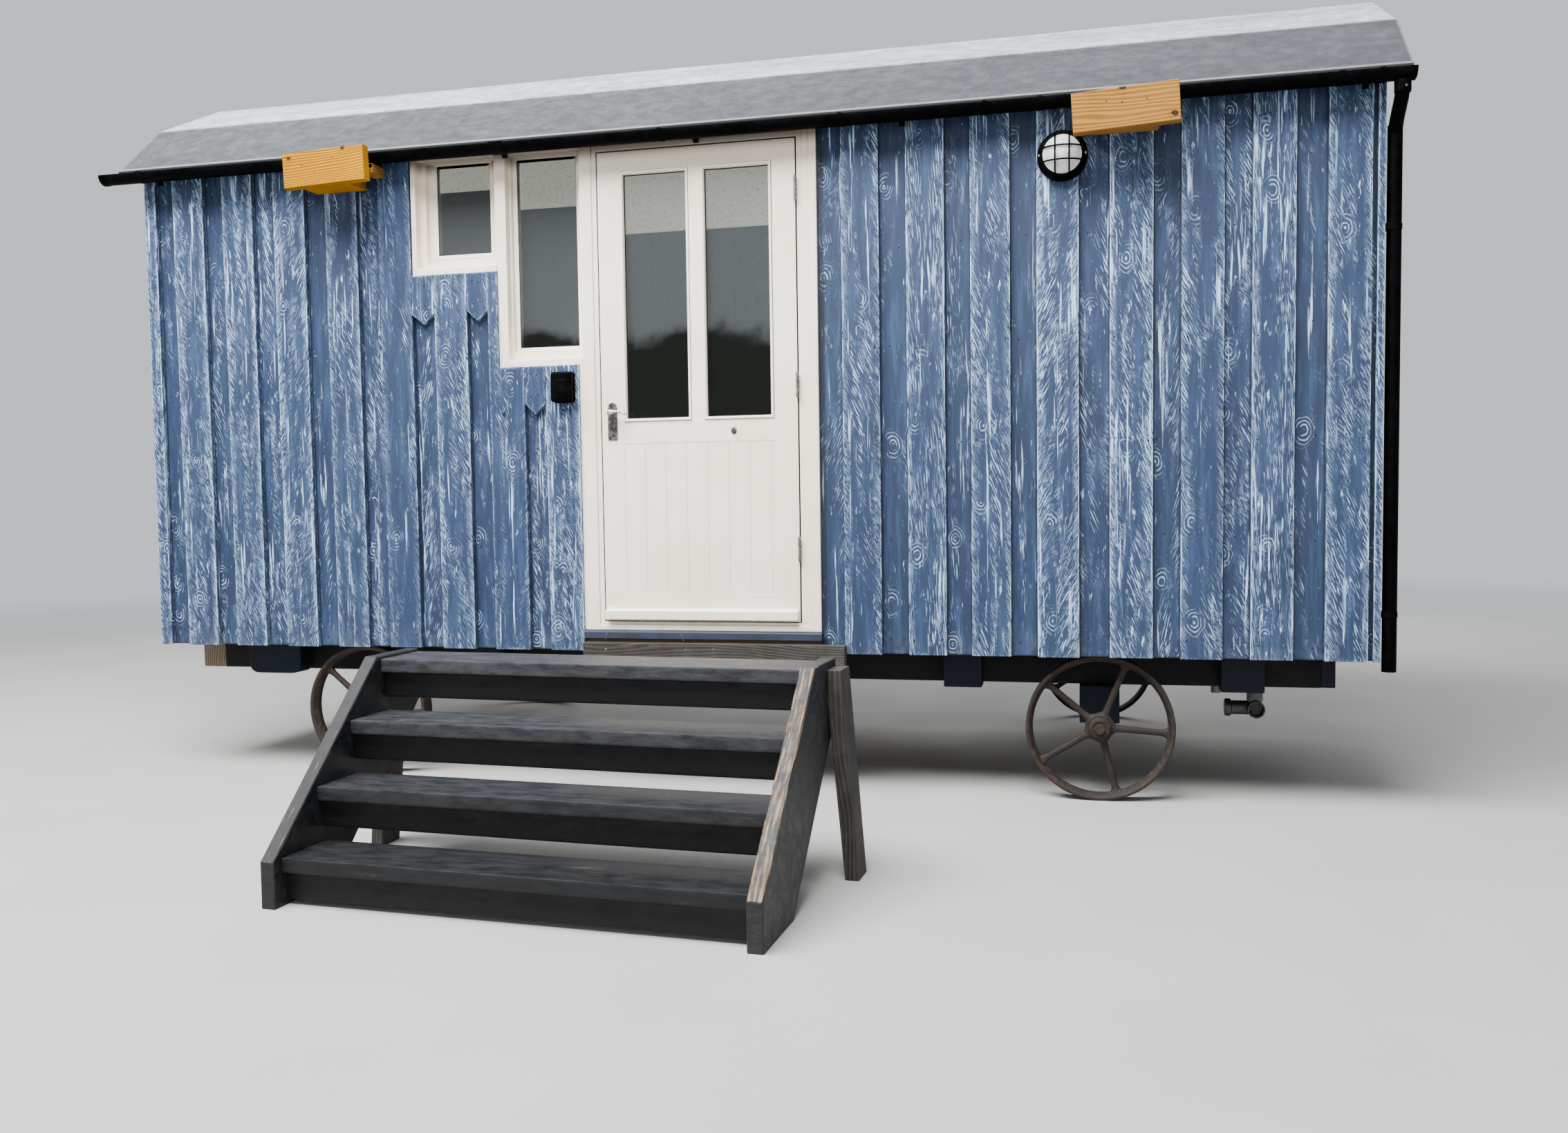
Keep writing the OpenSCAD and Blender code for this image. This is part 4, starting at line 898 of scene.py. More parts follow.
def nail_rows(x0, x1, top, y=0.0):
    """Pairs of nails near both arrises, a row on each hidden batten and none quite on its line."""
    inset, first, last, pitch = 20, 60, 40, 390.0
    spots = [(x + rng.normal(0, 4), y, z + rng.normal(0, 12)) for z in np.arange(first, top - last, pitch)
             for x in (x0 + inset, x1 - inset)]
    return [s for s in spots if rng.random() > 0.12]


def gaps(boards):
    """The strips between each board and the next."""
    return [(a[1], b[0]) for a, b in zip(boards, boards[1:])]


def rhythm(corner, start, stop):
    """Proud boards of an unseen wall: a narrow one at its corner, then the front's at their pitch."""
    return [corner, *[(x, x + BOARD) for x in np.arange(start, stop, PITCH)]]


def upright(piece, x0, x1, bottom, top, proud=True):
    """A board of the front on its end."""
    timber(piece, ((x0 + x1) / 2, 0 if proud else PROUD_T, bottom), Z, -Y, top - bottom, x1 - x0,
           PROUD_T if proud else BACK_T, arris=2.2, board=board_look(proud), wave=0.5, reach=30.0)


def front_cladding():
    """Proud boards with others behind their gaps. Under the windows the tops step down with the casing, and
    three filler strips end in a point."""
    boards, nails = Piece(), Piece()
    spots = []
    for x0, x1 in LEFT_BOARDS + RIGHT_BOARDS:
        upright(boards, x0, x1, rng.uniform(-1, 2), TOP)
        spots += nail_rows(x0, x1, NAILED_TOP)
    for x0, x1 in UNDER_BOARDS:
        top = STEP_Z1 if x1 < STEP_X else STEP_Z2
        if x0 < STEP_X < x1:
            outline = [(x0, 0), (x1, 0), (x1, STEP_Z2), (STEP_X, STEP_Z2), (STEP_X, STEP_Z1), (x0, STEP_Z1)]
            slab(boards, outline, in_wall(0), PROUD_T, 2.0, board_look())
        else:
            upright(boards, x0, x1, 0, top)
        spots += nail_rows(x0, x1, top)
    for x0, x1 in gaps(LEFT_BOARDS + UNDER_BOARDS) + gaps([(0, FRAME_X1), *RIGHT_BOARDS, (WALL_END, 0)]):
        right = x0 >= FRAME_X1
        top = TOP if right or x1 < CASING_X0 else STEP_Z1 if x1 < STEP_X else STEP_Z2
        upright(boards, x0 if x0 == FRAME_X1 else x0 - LAP, min(x1 + LAP, WALL_END), BACK_FOOT, top, False)
        inset = 18 if right else 20
        spots += nail_rows(x0 + inset, x1 - inset, top, PROUD_T)[::2]
    for x0, x1, shoulder, tip, top in [(1313, 1417, 1438, 1396, STEP_Z1), (1570, 1666, 1442, 1398, STEP_Z1),
                                       (1826, 1921, 1042, 995, STEP_Z2)]:
        middle, proud = (x0 + x1) / 2, 0.5
        outline = [(x0 + 1, shoulder), (middle, tip), (x1 - 1, shoulder), (x1 - 1, top), (x0 + 1, top)]
        slab(boards, outline, in_wall(proud), PROUD_T - 1, 2.0, board_look())
        spots += [(middle + dx, proud, shoulder + dz)
                  for dx, dz in ((-18, 30), (14, 36), (8, 120), (-20, 128))]
    dots(nails, spots, -Y, NAIL)
    boards.finish("front_boards", blue_boards, stands_for="front_cladding")
    nails.finish("front_board_nails", dark_nail, slot="blue_boards")


def rear_cladding():
    """The front's rhythm again, on a wall without openings."""
    boards, nails = Piece(), Piece()
    proud = rhythm((0.0, 54.0), 146, HUT_L - 60)
    for x0, x1 in proud:
        timber(boards, ((x0 + x1) / 2, HUT_W, rng.uniform(-1, 2)), Z, Y, TOP, x1 - x0, PROUD_T, 2.2,
               board_look(), 0.5)
        dots(nails, nail_rows(x0, x1, NAILED_TOP, HUT_W), Y, NAIL)
    for x0, x1 in gaps([*proud, (WALL_END, 0)]):
        wide = x1 - x0 + (2 * LAP if x1 < WALL_END else 0)
        timber(boards, ((x0 + x1) / 2, HUT_W - PROUD_T, BACK_FOOT), Z, Y, TOP, wide, BACK_T, 2.2,
               board_look(False), 0.4)
    boards.finish("rear_boards", blue_boards, stands_for="rear_cladding")
    nails.finish("rear_board_nails", dark_nail, slot="blue_boards")


EAVE, KNUCKLE_1, KNUCKLE_2 = (-64.0, 2124.0), (210.0, 2373.0), (642.0, 2589.0)
RIDGE = (HUT_W / 2, KNUCKLE_2[1] + (HUT_W / 2 - KNUCKLE_2[0]) * tan(radians(10)))
ROOF_T = 26.0
ROOF_LINE = array([EAVE, KNUCKLE_1, KNUCKLE_2, RIDGE,
                   *[(HUT_W - y, z) for y, z in (KNUCKLE_2, KNUCKLE_1, EAVE)]])


def roof_underside():
    """The roof's line moved in by its thickness, mitred at the knuckles."""
    side = unit(np.diff(ROOF_LINE, axis=0))
    down = np.stack([side[:, 1], -side[:, 0]], 1)
    before, after = np.concatenate([down[:1], down]), np.concatenate([down, down[-1:]])
    return ROOF_LINE + (before + after) / (1 + (before * after).sum(1, keepdims=True)) * ROOF_T


UNDERSIDE = roof_underside()


def end_cladding():
    """Boards of both gables, cut along the roof's underside with its knuckles."""
    boards, nails = Piece(), Piece()
    proud = rhythm((3.0, 100.0), 150, HUT_W - 60)
    proud[-1] = (proud[-1][0], min(proud[-1][1], HUT_W - 3))
    far = HUT_W - 47.0
    for corner, inwards in ((0.0, 1), (HUT_L, -1)):
        def board(y0, y1, thick, depth, look):
            knees = [tuple(p) for p in UNDERSIDE[-2:0:-1] if y0 + 2 < p[0] < y1 - 2]
            low, high = np.interp([y0, y1], UNDERSIDE[:, 0], UNDERSIDE[:, 1])
            outline = [(y0, 0), (y1, 0), (y1, high), *knees, (y0, low)]
            slab(boards, outline, lambda p, q, d: np.stack([corner + inwards * (d + depth), p, q], -1), thick,
                 2.0, look)

        for y0, y1 in proud:
            board(y0, y1, PROUD_T, 0, board_look())
            spots = [(corner, y, z) for y, _, z in nail_rows(y0, y1, 2100)]
            dots(nails, spots, -inwards * X, NAIL)
        for y0, y1 in gaps([*proud, (far, 0)]):
            if y1 - y0 > 10:
                board(y0 - LAP, min(y1 + LAP, far), BACK_T, PROUD_T, board_look(False))
    boards.finish("end_boards", blue_boards, stands_for="end_cladding")
    nails.finish("end_board_nails", dark_nail, slot="blue_boards")


front_cladding()
rear_cladding()
end_cladding()

# ---------------------------------------------------------------- roof, gutters and downpipes


def roof():
    """The knuckled shell: the outline with rounded knuckles and its underside, carried along the hut, with a
    thicker lip along both eaves. Two slow sines along it times one across take it a millimetre off flat."""
    lip = array([EAVE, (-65.5, 2127.0), (-62.0, 2131.0), (-52.0, 2137.0), (-46.0, 2140.0)])
    lip_rear = (lip * [-1, 1] + [HUT_W, 0])[::-1]
    outer = np.concatenate([lip, rounded(ROOF_LINE, [1, 9, 9, 9, 9, 9, 1], 4)[1:-1], lip_rear])
    section = np.concatenate([outer, rounded(UNDERSIDE, [1, 6, 6, 6, 6, 6, 1], 2)[::-1]])
    n, m = len(section), len(outer)
    xs = np.concatenate([[-74, -72.5, -66], np.linspace(-50, HUT_L + 50, 110), HUT_L + array([66, 72.5, 74])])
    wear = np.zeros((len(xs), n))
    wear[:, [0, 1, 2, 3, *range(m - 4, m)]] = 1.0
    wear[:, [m, -1]] = 0.6
    wear[[0, 1, -2, -1]] = 1.0
    waving, eased = np.zeros(n), np.zeros(len(xs))
    waving[8:m - 8] = 1.0
    eased[[0, 1, -2, -1]] = 1.0, 0.35, 0.35, 1.0
    waves = 1.1 * np.sin(xs / 530 + 1) + 0.7 * np.sin(xs / 187)
    rise = waves[:, None] * waving * np.sin(section[:, 0] / 160)
    rise += eased[:, None] * np.where(np.arange(n) < m, -2.0, 2.0)
    shell = Piece()
    sweep(shell, section, xs, rise=rise, edge=wear)
    shell.finish("roof_shell", roof_shell, stands_for="roof", sharp=26)


GUTTER_R, GUTTER_OUT, GUTTER_Z = 37.5, 75.0, 2106.0
GUTTER_X = (-143.0, 5258.0)
GUTTER_CLIPS = [(62, 30), (1773, 62), (3211, 22), (3762, 22), (3965, 22), (5011, 26), (5145, 22), (2480, 22),
                (940, 22)]
PIPE_X, PIPE_IN, PIPE_TOP, PIPE_L = 5215.0, 35.0, 1934.0, 1972.0


def gutters():
    """Half-round troughs with rolled rims, capped ends, clips that grip both rims, and rafter brackets, each
    a plane section of arcs and corners carried along the hut."""
    trough = Piece()
    c = np.array([-GUTTER_OUT, GUTTER_Z - 3])
    wall, roll = 3.2, 2.6

    def half(r):
        return arc(c, r, 180, 360, 25)

    def rim(side):
        return arc(c + [side * (GUTTER_R - roll), 0], roll, 0, 180, 6)

    def put(section, x, wide, n=2):
        sweep(trough, section, np.linspace(x - wide / 2, x + wide / 2, n))

    long = GUTTER_X[1] - GUTTER_X[0]
    band = np.concatenate([half(GUTTER_R + 2), half(GUTTER_R - 0.4)[::-1]])
    cap = np.concatenate([half(GUTTER_R - 3.4), c + [[GUTTER_R - 3.4, 2.5], [3.4 - GUTTER_R, 2.5]]])
    bracket = c + [[GUTTER_R - 2, -2], [GUTTER_OUT, -2], [GUTTER_OUT, -36], [GUTTER_OUT - 4, -36],
                   [GUTTER_OUT - 12, -26], [GUTTER_R - 7, -20]]
    for trough.turn in (array, rear):
        put(np.concatenate([half(GUTTER_R)[:-1], rim(1)[:-1], half(GUTTER_R - wall)[::-1], rim(-1)[1:-1]]),
            GUTTER_X[0] + long / 2, long - 6, 28)
        for x in (GUTTER_X[0] + 2.5, GUTTER_X[1] - 2.5):
            put(cap, x, 5)
        for x, wide in [(-130, 20), (5244, 22)]:
            put(band, x, wide)
        for x, wide in GUTTER_CLIPS:
            put(band, x, wide)
            for side in (-1, 1):
                hook = [[GUTTER_R + 2, -5], [GUTTER_R + 2.6, 4], [GUTTER_R - 5, 5], [GUTTER_R - 6, 1.5]]
                put(c + array(hook) * [side, 1], x, wide - 6)
        for x in 84 + 835.3 * np.arange(7):
            put(bracket, x + 11, 22)
    trough.finish("rain_gutters", black_plastic, stands_for="gutters")


def downpipes():
    """A pipe with an offset bend: a round section carried down a line on the outside and back up on the
    inside. Socket, sleeve and clips are turned about its straight runs."""
    pipe, screws = Piece(), Piece()
    top = np.array([PIPE_X, -GUTTER_OUT, GUTTER_Z - GUTTER_R - 1])
    knee = np.array([PIPE_X, -GUTTER_OUT, PIPE_TOP + 90])
    joint = np.array([PIPE_X, PIPE_IN, PIPE_TOP])
    foot = joint - [0, 0, PIPE_L]
    way = rounded([top, knee, joint, foot], 46, 8)
    side = np.cross(unit(np.gradient(way, axis=0)), X)
    n = 32
    angle = round_angles(n)[:, None]
    ring = np.cos(angle) * X + np.sin(angle) * side[:, None]
    outside, inside = (way[:, None] + r * ring for r in (24.2, 21.8))
    run = travelled(way)
    socket = [(25.5, 0), (28, 2), (28, 40), (27, 43), (24.4, 45)]
    sleeve = [(24.4, 1), (25.4, 0), (25.6, 2), (25.6, PIPE_L + 5), (25, PIPE_L + 6), (24.4, PIPE_L + 5)]
    clip, clip_h, clip_heights = [(25.2, 0), (27.5, 2), (27.5, 22), (25.2, 24)], 24, (1630, 224)
    for turn in (array, rear):
        pipe.turn = screws.turn = turn
        pipe.skin(np.concatenate([outside, inside[::-1]]),
                  wrap(np.arange(n + 1) * 5.0, np.concatenate([run, run[::-1] + 50, run[:1]])), loop=True)
        for at, profile in [(top, socket), (joint + [0, 0, 6], sleeve),
                            *[(foot + [0, 0, z], clip) for z in clip_heights]]:
            bore = [(23.5, profile[-1][1]), (23.5, profile[0][1])]
            turned(pipe, at, -Z, profile + bore, n, ring=True)
        for z in clip_heights:
            low = foot[2] + z - clip_h
            for side in (-1, 1):
                near, far, out = PIPE_IN + side * 14, PIPE_IN + side * 24, PIPE_X - 8
                lug = [(HUT_L, near - 4), (out, far - 4), (out, far + 4), (HUT_L, near + 4)]
                sweep(pipe, lug, [low, low + clip_h], upright=True)
        turned(screws, top + [6, -26.9, -26], -Y, SCREW, 12)
    pipe.finish("rain_downpipes", black_plastic, stands_for="downpipes")
    screws.finish("downpipe_screws", zinc_hinges)


roof()
gutters()
downpipes()

# ---------------------------------------------------------------- windows and door frame

CASING_Y, CASING_D, CASING_BACK, CASING_TOP = 12.0, 108.0, 120.0, 2110.0
# Upright boxes x0, z0, x1, z1: hole in the casing, first step and clear light of both windows
SMALL, TALL = (1337.0, 1633.0, 1706.0, 2090.0), (1754.0, 1229.0, 2086.0, 2090.0)
SMALL_STEP, TALL_STEP = (1366.0, 1658.0, 1691.0, 2084.0), (1760.0, 1266.0, 2065.0, 2084.0)
SMALL_LIGHT, TALL_LIGHT = (1405.0, 1697.0, 1652.0, 2076.0), (1777.0, 1286.0, 2045.0, 2076.0)


def bar(piece, box, y=CASING_Y, depth=CASING_D, arris=1.4):
    """A planed bar that fills an upright box; its grain runs along its longer side."""
    x0, z0, x1, z1 = box
    if z1 - z0 > x1 - x0:
        timber(piece, ((x0 + x1) / 2, y, z0), Z, -Y, z1 - z0, x1 - x0, depth, arris)
    else:
        timber(piece, (x0, y, (z0 + z1) / 2), X, -Y, x1 - x0, z1 - z0, depth, arris)


def stepped_ring(piece, outer, inner, face, slope=0.0, arris=1.3):
    """A ring between two upright boxes, its face at `face`. Towards the inner box the face falls back by
    `slope`, and its inner arris is eased."""
    o, i = box_outline(*outer), box_outline(*inner)
    rows = [(o, CASING_BACK), (o, face), (grown(i, arris), face + slope), (i, face + slope + arris),
            (i, CASING_BACK)]
    flat = np.stack([r for r, _ in rows], 1)
    depth = np.broadcast_to([d for _, d in rows], flat.shape[:2])
    across = travelled(np.stack([flat[0, :, 0], depth[0]], 1), True)
    piece.skin(np.stack([flat[..., 0], depth, flat[..., 1]], -1), wrap(across, travelled(i, True)), loop=True)


def windows():
    """Face bars of the casing, and in each hole a sash ring, a second ring behind it and a sloping bead. A
    sealant bead lies round each pane, heavier along its top, and a pale spacer edge shows inside its left."""
    casing, panes, seal = Piece(), Piece(), Piece()
    for box in ((CASING_X0, STEP_Z1, SMALL[0], CASING_TOP), (SMALL[0], STEP_Z1, STEP_X, SMALL[1]),
                (STEP_X, STEP_Z2, TALL[0], STEP_Z1), (SMALL[2], STEP_Z1, TALL[0], CASING_TOP),
                (TALL[0], STEP_Z2, TALL[2], TALL[1]), (SMALL[0], SMALL[3], SMALL[2], CASING_TOP),
                (TALL[0], TALL[3], TALL[2], CASING_TOP)):
        bar(casing, box)
    for hole, step, light in ((SMALL, SMALL_STEP, SMALL_LIGHT), (TALL, TALL_STEP, TALL_LIGHT)):
        left, low, right, high = light
        bead = (max(left - 16, step[0]), low - 16, min(right + 14, step[2]), step[3])
        stepped_ring(casing, hole, step, 54)
        stepped_ring(casing, step, bead, 79)
        stepped_ring(casing, bead, light, 77.5, 5.0, 0.8)
        rim = box_outline(*light)
        slab(panes, grown(rim, 5), in_wall(85.2), 5.6, 0.5)
        moulding(seal, rim, [(0.2, 83.6), (-2.2, 85.1), (0.2, 85.1)])
        top = [(left + 1, high - 5), (right - 1, high - 7), (right - 1, high - 1), (left + 1, high - 1)]
        slab(seal, top, in_wall(82.6), 2.4, 0.5)
        timber(casing, (left + 4, 92.5, low), Z, -Y, high - low, 6, 7, 0.5)
    casing.finish("window_casing", cream_joinery, stands_for="window_surround")
    panes.finish("window_panes", window_glass, stands_for="window_glass")
    seal.finish("window_sealant", sealant, slot="black_plastic")


def blind(name, x0, x1, bottom, top, y, body, node):
    """A cloth that hangs from its roller: y is two sines of x that grow towards the foot, where half a sine
    of the height makes the hem round its bar."""
    hem_h = 16
    xs = np.linspace(x0, x1, 25)
    zs = np.concatenate([np.linspace(bottom, bottom + hem_h, 7), np.linspace(bottom + 22, top, 24)])
    gx, gz = np.meshgrid(xs, zs)
    foot = (top - gz) / (top - bottom)
    hem = 1.6 * np.sin(pi * np.clip((gz - bottom) / hem_h, 0, 1))
    gy = y - hem + 0.8 * foot * np.sin(gx / 61 + 1) + 0.3 * foot * np.sin(gx / 23)
    cloth = Piece()
    cloth.skin(np.stack([gx, gy, gz], -1), wrap(xs, zs), closed=False)
    obj = cloth.finish(name, blind_fabric, body=body, stands_for=node)


def door_frame():
    """Jambs and head in three steps towards the leaf, with a fine groove between them, the stop behind, and
    dark strips in the gap beside and over the leaf, painted shade of the gap."""
    bars, stops, gap_shade_strips = Piece(), Piece(), Piece()
    for y, *box in ((12, 2086, 1199, 2138, 2110), (12, 2071, 88, 2138, 1199), (18, 2138.8, 110, 2159.6, 2110),
                    (18, 3008.4, 110, 3030, 2110), (15, 3030.8, 110, 3057, 2110), (12, 3058, 88, 3089, 2110),
                    (12, 2138, 2090, 3058, 2110), (18, 2159, 2067.5, 3009, 2089.2), (12, 2138, 88, 3058, 110),
                    (18, 2159, 110, 3009, 122.6)):
        bar(bars, box, y, CASING_BACK - y)
    bars.finish("door_jambs", cream_joinery, stands_for="door_frame")
    for box in ((2152, 116, 2178, 2100), (2990, 116, 3016, 2100), (2178, 2050, 2990, 2100),
                (2178, 116, 2990, 134)):
        bar(stops, box, 66, 34, 1.2)
    stops.finish("door_stops", cream_joinery)
    # Painted shade: dark strips that darken the gap beside and over the leaf.
    timber(gap_shade_strips, (2160.9, 19.5, 120), Z, -Y, 1944, 2.6, 38, 0.3)
    timber(gap_shade_strips, (2162, 19.5, 2066.1), X, -Y, 844, 2.8, 38, 0.3)
    gap_shade_strips.finish("frame_gap_shade_strips", sealant, slot="black_plastic")


def sill_and_ledger():
    """The painted sill with its sloping top, the board under it, and two bent nails left in that board."""
    sill, ledger, pins = Piece(), Piece(), Piece()
    slab(sill, [(45, 55), (45, 88), (-2, 86), (-10, 80), (-10, 55)], endways(2074), 1021, 1.2,
         (0.3, 0.2, 0.0, 0.25))
    sill.finish("painted_sill", sill_paint, stands_for="door_sill", slot="blue_boards")
    face = -45
    timber(ledger, (2082, face, -8.5), X, -Y, 1113, 95, 45, 2.4, (0.45, 1, 0, 0.5), 0.6)
    ledger.finish("ledger_board", ledger_timber, stands_for="ledger_board", slot="weathered_timber")
    for x, lean in ((2172, 5), (2518, -4)):
        path = rounded([(x, -20, 36), (x + lean, -24, 58), (x + lean * 2.4, -27, 76)], 8, 4)
        tube(pins, path, 1.7, 8, Y)
        turned(pins, path[-1], Z, [(1.2, -1), (4, 0), (4, 1.2), (2, 1.8)], 10)
        turned(pins, (x + 12, face, 12), -Y, SCREW, 10)
    turned(pins, (2650, face, 16), -Y, SCREW, 10)
    pins.finish("ledger_nails", zinc_hinges)


windows()
door_frame()
sill_and_ledger()

# ---------------------------------------------------------------- door leaf

LEAF = (2165.0, 128.0, 3003.0, 2062.0)
LEAF_Y, LEAF_T = 16.0, 44.0
PANES = [(2275.0, 968.0, 2545.0, 1968.0), (2623.0, 968.0, 2893.0, 1968.0)]
PANEL = (2263.0, 243.0, 2906.0, 863.0)


def door_leaf():
    """Stiles, rails and a muntin, planted beads round the panes, tongued boards in the lower panel, and the
    weatherboard with its sloping top."""
    wood, panes, seal = Piece(), Piece(), Piece()
    x0, z0, x1, z1 = LEAF
    left, low, right, high = PANEL
    for box in ((x0, z0, left, z1), (right, z0, x1, z1), (left, 1978, right, z1), (left, high, right, 960),
                (left, z0, right, low), (2557, 960, 2613, 1978)):
        bar(wood, box, LEAF_Y, LEAF_T, 0.8)
    grooves = [*(left + 89.7 * np.arange(8)), right]
    vee = 2.2
    for a, b in zip(grooves, grooves[1:]):
        h = (b - a) / 2 - 0.3
        section = array([(-h, 15), (-h, vee), (vee - h, 0.2), (h - vee, 0.2), (h, vee), (h, 15)])
        sweep(wood, section + [(a + b) / 2, LEAF_Y], np.linspace(low + 0.4, high - 0.4, 12), upright=True)
    for pane in PANES:
        outline = box_outline(*pane)
        moulding(wood, outline, [(0, 40), (0, 16), (1.0, 13.6), (4.0, 11.2), (9.4, 10.9), (10.8, 12.2),
                                 (11.1, 16.3), (11.1, 20), (6, 40)])
        moulding(wood, outline, [(6, 40), (0, 40), (-1, 44), (0, 56), (10, 59.5), (12, 56), (12, 40)])
        slab(panes, grown(outline, 4), in_wall(35), 6, 0.4)
        moulding(seal, outline, [(0.2, 31), (-3.4, 34.6), (0.2, 34.9)])
        # Painted shade: a thin dark ring in the quirk where the bead meets the leaf.
        moulding(seal, grown(outline, 11.2), [(0.9, 15.6), (-0.3, 15.6), (-0.3, 18), (0.9, 18)])
    weatherboard = [(16.5, 136), (-10, 136), (-10, 169), (-8, 172), (16.5, 180)]
    slab(wood, weatherboard, endways(2171), 826, 1.4, grain=(1.0, 0.0))
    wood.finish("door_wood", cream_joinery, body="door", stands_for="door_leaf")
    panes.finish("door_panes", window_glass, body="door", stands_for="door_glass")
    # Painted shade: a dark strip on the hinge-side edge darkens the gap beside the leaf.
    timber(seal, (x1 + 0.3, 18, z0 + 2), Z, -Y, z1 - z0 - 4, 0.9, 40, 0.2)
    seal.finish("door_sealant_and_painted_shade", sealant, body="door", slot="black_plastic")


door_leaf()
blind("door_blind_left", 2276, 2544, 1732, 1967, 48.5, "door", "door_blinds")
blind("door_blind_right", 2624, 2892, 1732, 1967, 48.5, "door", "door_blinds")
blind("small_window_blind", 1406, 1651, 1969, 2075, 106, "hut", "window_blinds")
blind("tall_window_blind", 1778, 2044, 1875, 2075, 106, "hut", "window_blinds")

HINGE_Z, KNUCKLE_H, HINGE_H = (373.0, 1034.0, 1813.0), 20, 100
PIN = (3005.5, 4.0)


def hinges():
    """Butt hinges: five knuckles with eased ends on one pin, two of them the leaf's, and two flaps."""
    leaf, fixed = Piece(), Piece()
    low, high = 0.9, 19.1
    barrel = [(4.2, low), (6.3, low + 1.6), (6.3, high - 1.6), (4.2, high)]
    for z in HINGE_Z:
        for k in range(5):
            part, x, out = (leaf, 3004.2, -X) if k % 2 else (fixed, 3006.8, X)
            foot = z + KNUCKLE_H * k
            turned(part, (*PIN, foot), Z, barrel, 20)
            timber(part, (x, 4.5, foot + 0.6), Z, out, 18.8, 13, 2.0, 0.3)
        for end in (z - 1.4, z + HINGE_H + 1.4):
            turned(fixed, (*PIN, end), Z, [(2, -1.4), (4.4, -0.8), (4.8, 0), (4.4, 0.8), (2, 1.4)], 16)
        for part, x in ((leaf, 3003.3), (fixed, 3006.1)):
            timber(part, (x, 31.5, z), Z, X, HINGE_H, 40, 1.9, 0.4)
    leaf.finish("hinge_leaves", zinc_hinges, body="door", stands_for="door_hinges")
    fixed.finish("hinge_pins", zinc_hinges, stands_for="frame_hinges")


def lever_set():
    """A long hammered plate with a shaped head and foot, a scrolled lever on a round boss, and a keyhole."""
    plate, lever, hole, key, screws, strike = (Piece() for _ in range(6))
    x, z, face = 2212.0, 995.0, 12.2
    half = array([(19.5, 881), (20.5, 886), (20.5, 1018), (17, 1024), (17, 1029), (12, 1033), (7, 1033.5),
                  (0, 1038)])
    outline = np.concatenate([half, (half * [-1, 1])[-2::-1]]) + [x + 0.5, 0]
    slab(plate, outline, in_wall(face), 3.7, 0.9)
    turned(plate, (x, 12.4, z), -Y, [(13.5, -0.4), (13.5, 1.5), (12, 3), (9.2, 3.4)], 32)
    plate.finish("lever_plate", pewter, body="door", stands_for="handle_plate")
    grip = rounded([(2208, -17, 994), (2226, -18, 997), (2252, -18, 998), (2270, -19, 990), (2281, -18, 985),
                    (2284.5, -16, 992), (2281, -13, 998), (2274, -13, 996)], 6, 4)
    s = travelled(grip)
    radius = np.interp(s / s[-1], [0, 0.25, 0.6, 0.85, 1], [7.6, 5.6, 4.8, 4.2, 3.6])
    tube(lever, grip, radius, 14, Y, flat=0.8)
    boss = [(7.7, 0), (7.7, 26), (10.5, 29), (11.5, 32), (11.2, 36), (8, 38), (3, 38.6)]
    turned(lever, (x, 15, z), -Y, boss, 32)
    tail = rounded([(2208, -18, 994), (2199, -18, 991), (2194, -17, 996), (2197, -16, 1001)], 4, 4)
    tube(lever, tail, [5.0, *[4.6] * 10, 3.4], 12, Y)
    lever.finish("door_lever", worn_lever, body="lever", stands_for="door_lever", slot="pewter")
    turned(hole, (2211, 12.6, 931), -Y, [(7.5, -0.2), (7.5, 0.4), (6.8, 0.9), (4.2, 1.0)], 24)
    hole.finish("keyhole_rim", brass_wear, body="door", slot="pewter")
    # Painted shade: a black disc and slot stand for the shade inside the keyhole.
    turned(key, (2211, 12.0, 932), -Y, [(3.2, -0.2), (3.2, 0.9), (2.8, 1.1)], 16)
    timber(key, (2211, 10.9, 920), Z, -Y, 11, 2.6, 1.4, 0.3)
    spots = [(sx, face, sz) for sx in (2196.5, 2228) for sz in (887, 1015)]
    dots(screws, spots, -Y, [(3, -0.5), (3, 0.3), (2.2, 0.9), (0.8, 0.9)], 12)
    screws.finish("plate_screws", zinc_hinges, body="door", slot="pewter")
    key.finish("keyhole", sealant, body="door", slot="black_plastic")
    # Painted shade: a dark strip on the jamb stands for the shade in the strike's recess.
    timber(strike, (2162.2, 17.5, 931), Z, -Y, 98, 4.6, 14, 0.4)
    strike.finish("strike_recess_painted_shade", sealant, slot="black_plastic")


